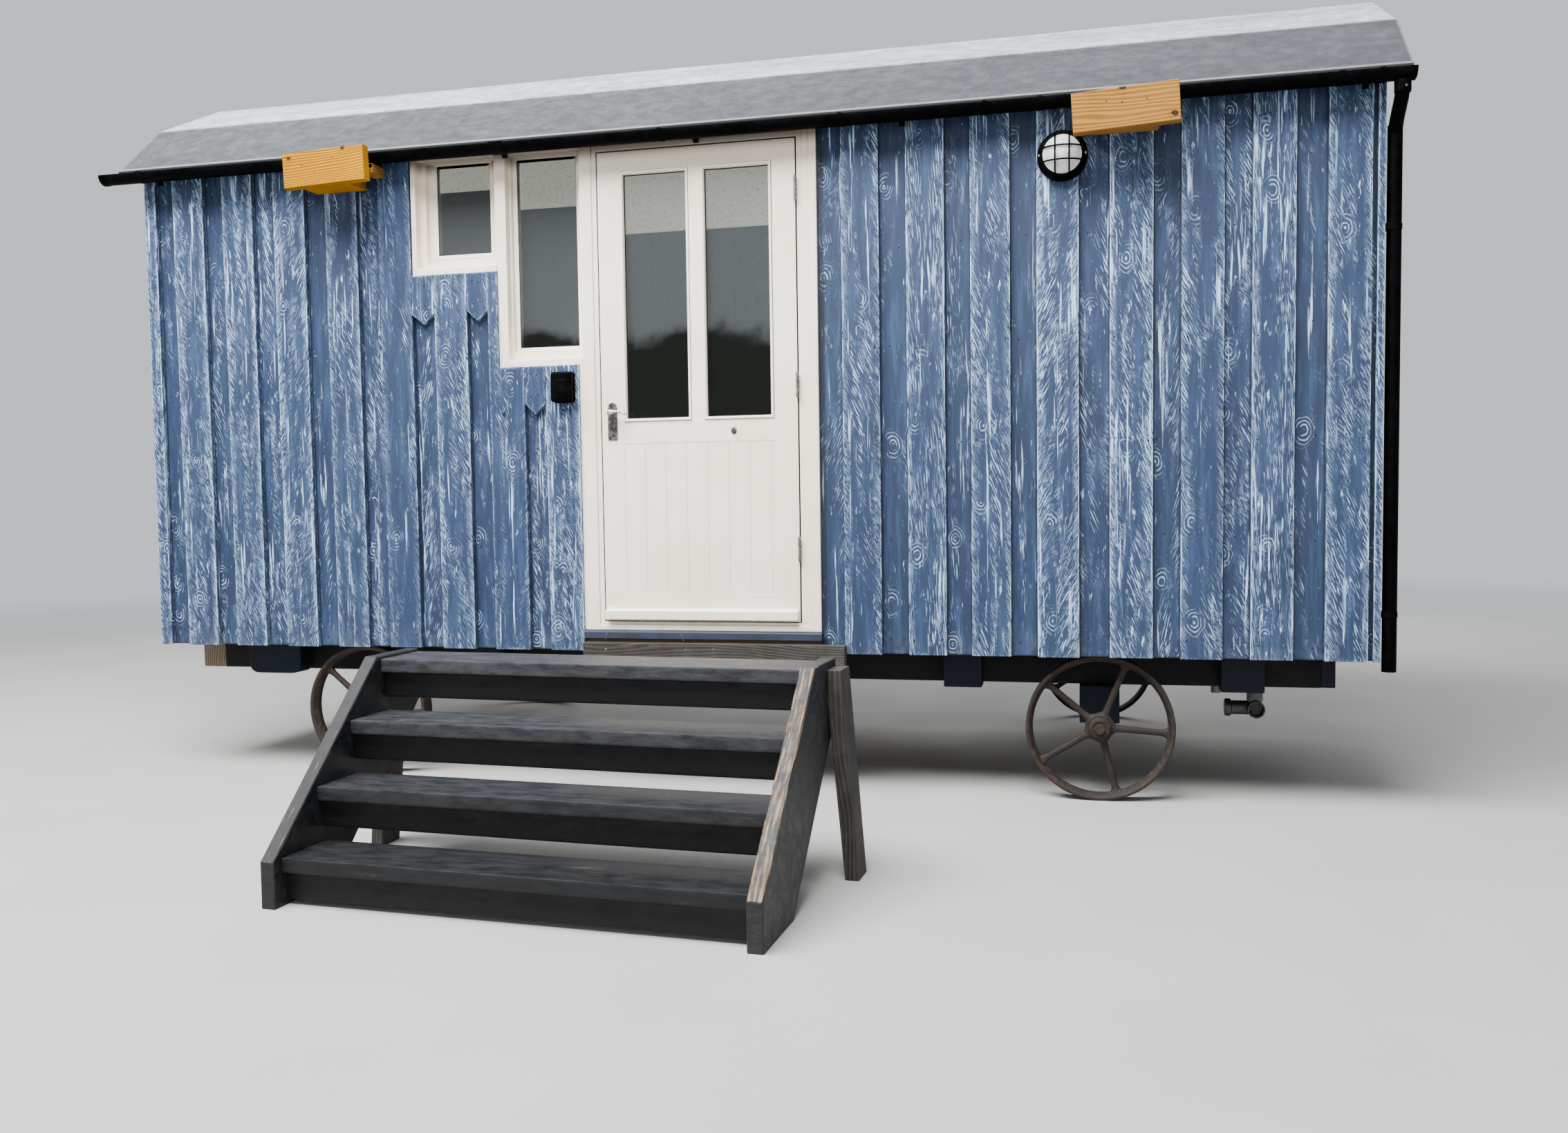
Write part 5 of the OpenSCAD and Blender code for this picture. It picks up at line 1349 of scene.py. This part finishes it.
def hook_set():
    """Cabin hook on the wall, its screw eye, and the eye plate on the door that it takes hold of."""
    eye, hook, screw_eye = Piece(), Piece(), Piece()
    wire, ring, z = 2, 8, 909

    def ring_at(piece, centre, a, b, ref):
        angle = round_angles(28)[:, None]
        tube(piece, centre + ring * (np.cos(angle) * a + np.sin(angle) * b), wire, 10, ref, closed=True)

    turned(eye, (2735.5, 16, z), -Y, [(13, -0.5), (13, 1.8), (11.5, 2.8), (4, 3.2)], 28,
           lobes=lambda a: 1 + 0.12 * np.cos(2 * a))
    ring_at(eye, array([2735.5, 4.2, z]), Y, Z, X)
    eye.finish("door_eye_plate", pewter, body="door", stands_for="door_eye")
    at = array([3323.5, -13, z])
    ring_at(screw_eye, at, Y, Z, X)
    tube(screw_eye, [(at[0], y, z) for y in (-5.2, -2, 0.5)], wire, 10, Z)
    turned(screw_eye, (at[0], 0, z), -Y, [(5.5, -0.3), (5.5, 0.7), (3.5, 1.6)], 16)
    screw_eye.finish("hook_screw_eye", pewter, stands_for="cabin_hook_eye")
    top = at - [0, 0, 11.7]
    ring_at(hook, top, X, Z, Y)
    bends = [(0, -8), (0, -60), (0, -118), (3, -126), (12, -129), (16, -124)]
    shank = rounded([top + [dx, 0, dz] for dx, dz in bends], 5, 4)
    s = travelled(shank)
    tube(hook, shank, np.interp(s, [0, 8, s[-1] - 30, s[-1]], [2.2, 3.0, 2.8, 1.8]), 10, Y)
    hook.finish("cabin_hook", pewter, body="hook", stands_for="cabin_hook")


def rounded_box(piece, box, layers, corner):
    """Rings of one rounded outline: each layer is (depth, inset)."""
    base = rounded(box_outline(*box), corner, 6, True)
    layers = array(layers)
    flat = np.stack([grown(base, -inset) for inset in layers[:, 1]])
    y = layers[:, :1] + np.zeros(len(base))
    piece.skin(np.stack([flat[..., 0], y, flat[..., 1]], -1), wrap(travelled(base, True), travelled(layers)))


def key_safe():
    """A moulded box with a soft front, a sunk panel and a sliding shutter with finger ribs."""
    box, panel = Piece(), Piece()
    shell = [(0, 0), (-10, 0), (-14, 2.5), (-18, 2.5), (-21, 0.5), (-36, 1.5), (-41, 4), (-44, 8), (-45, 13),
             (-44.4, 16)]
    rounded_box(box, (1959, 1040, 2055, 1170), shell, 20)
    rounded_box(panel, (1977, 1052, 2037, 1138), [(-43.0, 0), (-45.2, 0), (-46.6, 1.4), (-47, 3)], 12)
    for z in range(1127, 1107, -5):
        rounded_box(panel, (1990, z, 2024, z + 2.2), [(-46.4, 0), (-48, 0), (-48.4, 0.6)], 0.9)
    rounded_box(panel, (1985, 1142, 2029, 1162), [(-43.0, 0), (-44.6, 0), (-45.6, 1)], 8)
    box.finish("key_safe_box", black_plastic, stands_for="key_safe")
    panel.finish("key_safe_shutter", black_plastic)


def bulkhead_light():
    """A deep moulded ring, a fluted dome over a pale tray, and a guard of four bars. The dome is the cap of a
    ball, as high as the root of the ball's radius squared less the place's, and a sine of x gives its flutes.
    The bars follow it and stand out a little further."""
    ring, dome, guard, tray, screws = (Piece() for _ in range(5))
    x, z = 4045.0, 1907.0
    ball, rib_pitch, n = 99.0, 9.0, 96

    def height(r):
        return np.sqrt(np.maximum(ball**2 - r**2, 0)) - 22

    moulded = [(94, 0), (94, 16), (92, 22), (89, 30), (86, 36), (80, 40), (75, 41), (72, 39), (72, 2),
               (86, 0)]
    turned(ring, (x, 0, z), -Y, moulded, 72, ring=True)
    r = array([72, 68, 60, 50, 40, 30, 20, 10, 2.5])[:, None]
    gx, gz = r * np.cos(round_angles(n)), r * np.sin(round_angles(n))
    ribs = 0.7 * np.sin(gx * 2 * pi / rib_pitch)
    outer = np.stack([x + gx, -(height(r) - 3 + ribs), z + gz], -1)
    back = np.stack([x + gx, -(height(r) - 6 + 0 * ribs), z + gz], -1)[::-1]
    dome.skin(np.concatenate([outer, back]), wrap(np.arange(n + 1) * 4.7, np.arange(2 * len(r) + 1) * 8.0))
    turned(tray, (x, 0, z), -Y, [(71.5, 3), (71.5, 20), (60, 9), (30, 7), (2, 7)])
    turned(tray, (x, -8, z + 30), -Y, [(24, 0), (24, 14), (20, 18), (3, 19)], 32)
    for off in (-26.0, 26.0):
        along = np.linspace(-1, 1, 27) * np.sqrt(83.0**2 - off**2)
        y = -(height(np.minimum(np.hypot(along, off), 82)) + 1.0)
        tube(guard, np.stack([x + off + 0 * along, y, z + along], 1), 3.2, 10, X)
        tube(guard, np.stack([x + along, y - 1.5, z + off + 0 * along], 1), 3.2, 10, Z)
    dots(screws, [(x - 84, -35, z), (x + 84, -35, z)], -Y, [(5.5, -3), (5.5, 1.5), (4.2, 2.6), (1, 2.8)], 16)
    ring.finish("light_ring", black_plastic, stands_for="bulkhead_light")
    guard.finish("light_guard", black_plastic)
    dome.finish("light_dome", lamp_glass, slot="window_glass")
    tray.finish("light_tray", lamp_tray, slot="cream_joinery")
    screws.finish("light_screws", zinc_hinges)


hinges()
lever_set()
hook_set()
key_safe()
bulkhead_light()

# ---------------------------------------------------------------- lifting timbers and chassis


def plain_board(tone):
    """Look of a board of the frame: only its tone differs."""
    return tone, 1, 0, 0.5


def lifting_timbers():
    """A block on the wall, and across its end a plate that hangs a little out of level."""
    wood, pins = Piece(), Piece()
    low, high, block = 1977, 2064, 134
    left = [(831, 2108), (836, 1964), (1214, 1979), (1209, 2123)]
    right = [(4079, 2085), (4087, 1941), (4465, 1962), (4457, 2106)]
    for x0, x1, plate, tone, kind in ((877, 1115, left, 0.25, 1), (4156, 4394, right, 0.75, 0)):
        look = plain_board(tone)
        timber(wood, (x0, -block, (low + high) / 2), X, -Y, x1 - x0, high - low, block, 1.8, look, 0.3, kind)
        slab(wood, plate, in_wall(-180), 45, 2.2, look, (1.0, 0.045), kind)
        for x in (x0 + 48, x0 + 104, x1 - 48):
            turned(pins, (x, -180, 2036 + rng.uniform(-32, 42)), -Y, [(2.8, -1), (2.8, 0.1), (1.8, 0.3)], 10)
    timber(wood, (1205, -50, 2044), Z, X, 20, 100, 50, 1.4, plain_board(0.25), 0.0)
    timber(wood, (1205, -100, 2044), Y, X, 99, 39, 50, 1.8, plain_board(0.25), 0.2)
    wood.finish("lifting_timbers", fresh_timber, bright_timber, stands_for="lifting_timbers")
    pins.finish("lifting_timber_nails", dark_nail, slot="pewter")


def chassis():
    """Two beams set in from the walls, blocks and rounded outriggers that stand out from them, and a timber
    across each end."""
    beams, blocks, bare = Piece(), Piece(), Piece()
    beam_in, reach, look = 250.0, 100, plain_board(0.5)
    outrigger = rounded([(345, 38), (345, -120), (372, -145), (587, -145), (614, -120), (614, 38)], 26, 5)
    for face, out in ((beam_in, -1), (HUT_W - beam_in, 1)):
        timber(beams, (145, face, -47.5), X, out * Y, 4873, 175, 75, 2.5, look, 0.6)
        y = face + out * reach
        for x0, x1 in ((1460, 1612), (3566, 3718), (4640, 4799)):
            timber(blocks, ((x0 + x1) / 2, y, -145), Z, out * Y, 185, x1 - x0, reach, 2.5, look, 0.4)
        slab(blocks, outrigger, in_wall(y, -out), 99, 2.5)
    for x, wide, tone, kind in ((84.5, 119.0, 0.7, 1), (5044.5, 52.0, 0.1, 0)):
        timber(bare, (x, 251, -1.0), Y, Z, HUT_W - 502, wide, 133, 2.5, plain_board(tone), 0.5, kind)
    beams.finish("chassis_beams", chassis_paint, stands_for="chassis_beams")
    blocks.finish("chassis_blocks", block_paint, stands_for="cross_timbers", slot="chassis_paint")
    bare.finish("chassis_end_timbers", block_paint, weathered_timber, slot="chassis_paint")


AXLE_Z, AXLE_XS = -283.0, (998.0, 4182.0)


def axles():
    """Bolsters with axle ends and collars, and on each end a cap with a six-sided head."""
    bolsters, iron, caps = Piece(), Piece(), Piece()
    cap = [(34, 0), (36, 1.5), (36, 7.5), (34, 10), (28, 10), (26.5, 8.4), (22, 8.4)]
    head = [(20.5, 6), (20.5, 19), (18, 21.5), (8, 22)]
    for x in AXLE_XS:
        timber(bolsters, (x, 184, -135), Y, Z, 1762, 155, 148, 2.5, plain_board(0.3), 0.4)
        for start, profile in ((52.2, [(22.4, 0), (22.4, 132)]), (158, [(30, 0), (33.5, 3), (33.5, 26)])):
            turned(iron, (x, start, AXLE_Z), Y, profile, 40)
            turned(iron, (x, HUT_W - start, AXLE_Z), -Y, profile, 40)
        for y, axis in ((52.0, -Y), (HUT_W - 52.0, Y)):
            turned(caps, (x, y, AXLE_Z), axis, cap)
            turned(caps, (x, y, AXLE_Z), axis, head, 36, lobes=hexagon)
    bolsters.finish("axle_bolsters", block_paint, stands_for="axles", slot="chassis_paint")
    iron.finish("axle_ends", rusty_iron)
    caps.finish("wheel_caps", rusty_iron, stands_for="wheel_caps")


def wheel(name, x, front, node):
    """Cast wheel: a rim with a rounded tread band and an inner web, a stepped hub, a flange whose radius
    swells by a cosine at each spoke, and five spokes. A spoke's section is cosine and sine to a power below
    one, which squares the oval; its half width and depth gain terms that die away exponentially from hub and
    rim. Depth runs in from the outer face."""
    cast = Piece()
    face, inwards = (60.0, 1.0) if front else (HUT_W - 60.0, -1.0)
    c, axis, phase = np.array([x, face, AXLE_Z]), inwards * Y, radians(-4)
    hub_r, rim_r, spokes, power = 44, 262, 5, 0.72
    rim = [(285, 6), (283.5, 1.5), (279, 0), (272, 1.5), (268, 6), (rim_r, 21), (258.5, 27), (257.5, 37),
           (258.5, 47), (rim_r, 53), (268, 68), (272, 73), (279, 75), (283.5, 73.5), (285, 69)]
    hub = [(22.7, -7.4), (37, -7.4), (41, -5.5), (43.4, -1), (43.4, 18), (45, 23), (45, 52), (43.4, 56),
           (43.4, 92), (41, 97), (22.7, 97)]
    flange = [(44, 20), (52, 22), (58, 27), (60, 33), (60, 42), (58, 48), (52, 53), (44, 55), (43, 37)]
    turned(cast, c, axis, rim, 144, ring=True, start=X)
    turned(cast, c, axis, hub, 60, ring=True, start=X)
    turned(cast, c, axis, flange, 60, ring=True, start=X,
           lobes=lambda a: 1 + 0.07 * np.cos(spokes * (-inwards * a - phase)))
    r = np.concatenate([np.linspace(44, 64, 7), np.linspace(76, 232, 12), np.linspace(240, 262, 8)])
    out, to_rim = r - hub_r, rim_r - r
    share = out / (rim_r - hub_r)
    half = 13.5 - 2.0 * share + 13 * np.exp(-(out / 11) ** 1.2) + 19 * np.exp(-(to_rim / 11) ** 1.1)
    deep = 12.5 - 2.5 * share + 8 * np.exp(-out / 16) + 6 * np.exp(-to_rim / 10)
    a = round_angles(20)
    oval_x, oval_y = (np.sign(v) * np.abs(v) ** power for v in (np.cos(a), np.sin(a)))
    for angle in phase + round_angles(spokes):
        ray, cross = array([cos(angle), 0, sin(angle)]), array([-sin(angle), 0, cos(angle)])
        cast.skin(c + r[:, None, None] * ray + (half[:, None] * oval_x)[..., None] * cross
                  + (37.5 + deep[:, None] * oval_y)[..., None] * axis, wrap(np.arange(21) * 4.0, r))
    cast.finish(name, rusty_iron, body=name, stands_for=node, sharp=38)


def waste_pipe():
    """A push-fit tee: tapered upright socket, a mouth to the front with a rolled edge, and an arm to the
    left that ends in a collar."""
    grey, dark = Piece(), Piece()
    x, y, z = 4790.0, 380.0, -238.0
    socket = [(10, 24), (30, 25), (31, 34), (31, 62), (27, 70), (22.4, 96), (22.4, 277)]
    mouth = [(10, 0), (29, 1), (30, 4), (30, 60), (34, 62), (34, 90), (32.5, 92), (29, 92), (28, 89),
             (28, 40), (10, 39)]
    arm = [(27, 0), (28, 2), (28, 76), (31, 78), (35, 80), (35, 100), (32, 102), (10, 102)]
    turned(grey, (x, y, z), Z, socket, 32)
    turned(grey, (4641, y, -179), Z, [(18, 0), (19.5, 2), (19.5, 44), (17, 46)], 32)
    turned(dark, (x, y + 32, z), -Y, mouth, 40)
    turned(dark, (x - 14, y, z), -X, arm, 40)
    grey.finish("waste_upright", grey_plastic, stands_for="waste_pipe")
    dark.finish("waste_tee", dark_plastic, slot="grey_plastic")


lifting_timbers()
chassis()
axles()
for side, x in zip(("left", "right"), AXLE_XS):
    wheel(f"{side}_front_wheel", x, True, f"wheel_{side}_front")
for side, x in zip(("left", "right"), AXLE_XS):
    wheel(f"{side}_rear_wheel", x, False, f"wheel_{side}_rear")
waste_pipe()

# ---------------------------------------------------------------- steps

STEPS_AT, STEPS_TURN = np.array([1819.0, -1182.0]), radians(-3.15)
TREAD_L, TREAD_T, RISE, GOING, TREADS = 1475.0, 44.0, 177.0, 179.0, 4
STEP_TOP = 147 + 3 * RISE
STEP_FOOT = 3 * GOING + 33
SLOPE = RISE / GOING
STRINGER_T, STRINGER_BACK = 48.0, 232.0
TURN = np.array([[cos(STEPS_TURN), -sin(STEPS_TURN), 0], [sin(STEPS_TURN), cos(STEPS_TURN), 0], [0, 0, 1]])


def on_steps(points):
    """Places of the steps' own frame, with its Z from the ground, in the hut's."""
    return array(points) @ TURN.T + [*STEPS_AT, GROUND]


def steps():
    """Four treads on set-back risers between two stringers, and two legs at the back that splay."""
    treads, risers, strings, legs, screws = (Piece() for _ in range(5))
    along, back = TURN @ X, TURN @ Y
    for k in range(TREADS):
        y0, top = -k * GOING, STEP_TOP - k * RISE
        deep = 232.0 if k == 0 else 218.0
        timber(treads, on_steps([0.5, y0 + deep / 2, top]), along, Z, TREAD_L - 1, deep, TREAD_T, 3.0,
               (0.85 - 0.19 * k, 1, 0, rng.uniform(0.0, 0.25)), 0.3)
        drop = min(86.0, top - TREAD_T - 8)
        centre = on_steps([0.5, y0 + 25, top - TREAD_T - drop / 2])
        # Risers take tone 0: near black, painted shade under the tread nosings over their dark paint.
        timber(risers, centre, along, -back, TREAD_L - 1, drop, 20, 1.6, (0.0, 1, 0, 0.0), 0.3)
    lip = STEP_TOP + 10
    nose = lip - SLOPE * (STEP_FOOT - 17)
    outline = [((10 - 27 * SLOPE) / SLOPE, lip), (STRINGER_BACK, lip), (STRINGER_BACK, lip - RISE),
               (STRINGER_BACK - (lip - RISE) / SLOPE, 0), (-STEP_FOOT, 0), (-STEP_FOOT, nose - 16),
               (-STEP_FOOT, nose)]
    for x, wear, tone, rubbed in ((-STRINGER_T, 0.6, 0.4, (0.7, 0.2, 0, 0, 0.1, 0.3, 0.9)),
                                  (TREAD_L, 0.66, 0.5, (1, 0.4, 0, 0, 0.1, 0.3, 1))):
        slab(strings, outline, lambda p, q, d: on_steps(endways(x)(p, q, d)), STRINGER_T, 3.0,
             (tone, 0.1, 0, wear), (1.0, SLOPE), rubbed=rubbed)
    leg = [(0, STEP_TOP - 15), (45, STEP_TOP - 15), (95, 0), (50, 0), (0, STEP_TOP - 118)]
    leg_w = 110
    leg_plane = in_wall(STRINGER_BACK - leg_w)
    for edge, hand in ((TREAD_L + STRINGER_T, 1.0), (-STRINGER_T, -1.0)):
        slab(legs, leg, lambda p, q, d: on_steps(leg_plane(edge + hand * p, q, d)), leg_w, 2.5,
             plain_board(0.3), (-0.08, 1.0))
    for x, out in ((-STRINGER_T, -along), (TREAD_L + STRINGER_T, along)):
        spots = [on_steps([x, dy - k * GOING, STEP_TOP - k * RISE - 22])
                 for k in range(TREADS) for dy in (50, 150)]
        dots(screws, spots, out, [(4, -1), (4, 0.2), (2.6, 0.2), (1, -0.6)], 10)
    spots = [on_steps([x, dy - k * GOING, STEP_TOP - k * RISE])
             for k in range(TREADS) for x in (34, 700, 1441) for dy in (46, 160)]
    dots(screws, spots, Z, [(4, -1), (4, 0.15), (2.6, 0.15), (1, -0.5)], 10)
    treads.finish("step_treads", step_paint, stands_for="step_treads")
    risers.finish("step_risers", step_paint, stands_for="step_risers")
    strings.finish("step_stringers", step_paint, stands_for="step_stringers")
    legs.finish("step_legs", ledger_timber, stands_for="step_legs", slot="weathered_timber")
    screws.finish("step_screws", dark_nail, slot="pewter")


def wall_bolt():
    """A bolt head on a board under the tall window."""
    bolt = Piece()
    turned(bolt, (1728, 0, 1010), -Y, [(11, -0.5), (11, 1.2), (9, 2.2), (7.5, 2.4)], 24)
    turned(bolt, (1728, -2, 1010), -Y, [(6.5, 0), (6.5, 4.5), (5.4, 5.6), (1, 5.9)], 18, lobes=hexagon)
    bolt.finish("wall_bolt", blue_boards)


steps()
wall_bolt()

WALLS = ["front_wall_left", "front_wall_under_windows", "front_wall_head", "front_wall_right", "rear_wall",
         "end_walls"]
for nodes, material in ((WALLS, wall_lining), (["floor"], floor_boards)):
    for node in nodes:
        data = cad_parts[node].data
        data.materials.clear()
        data.materials.append(material)
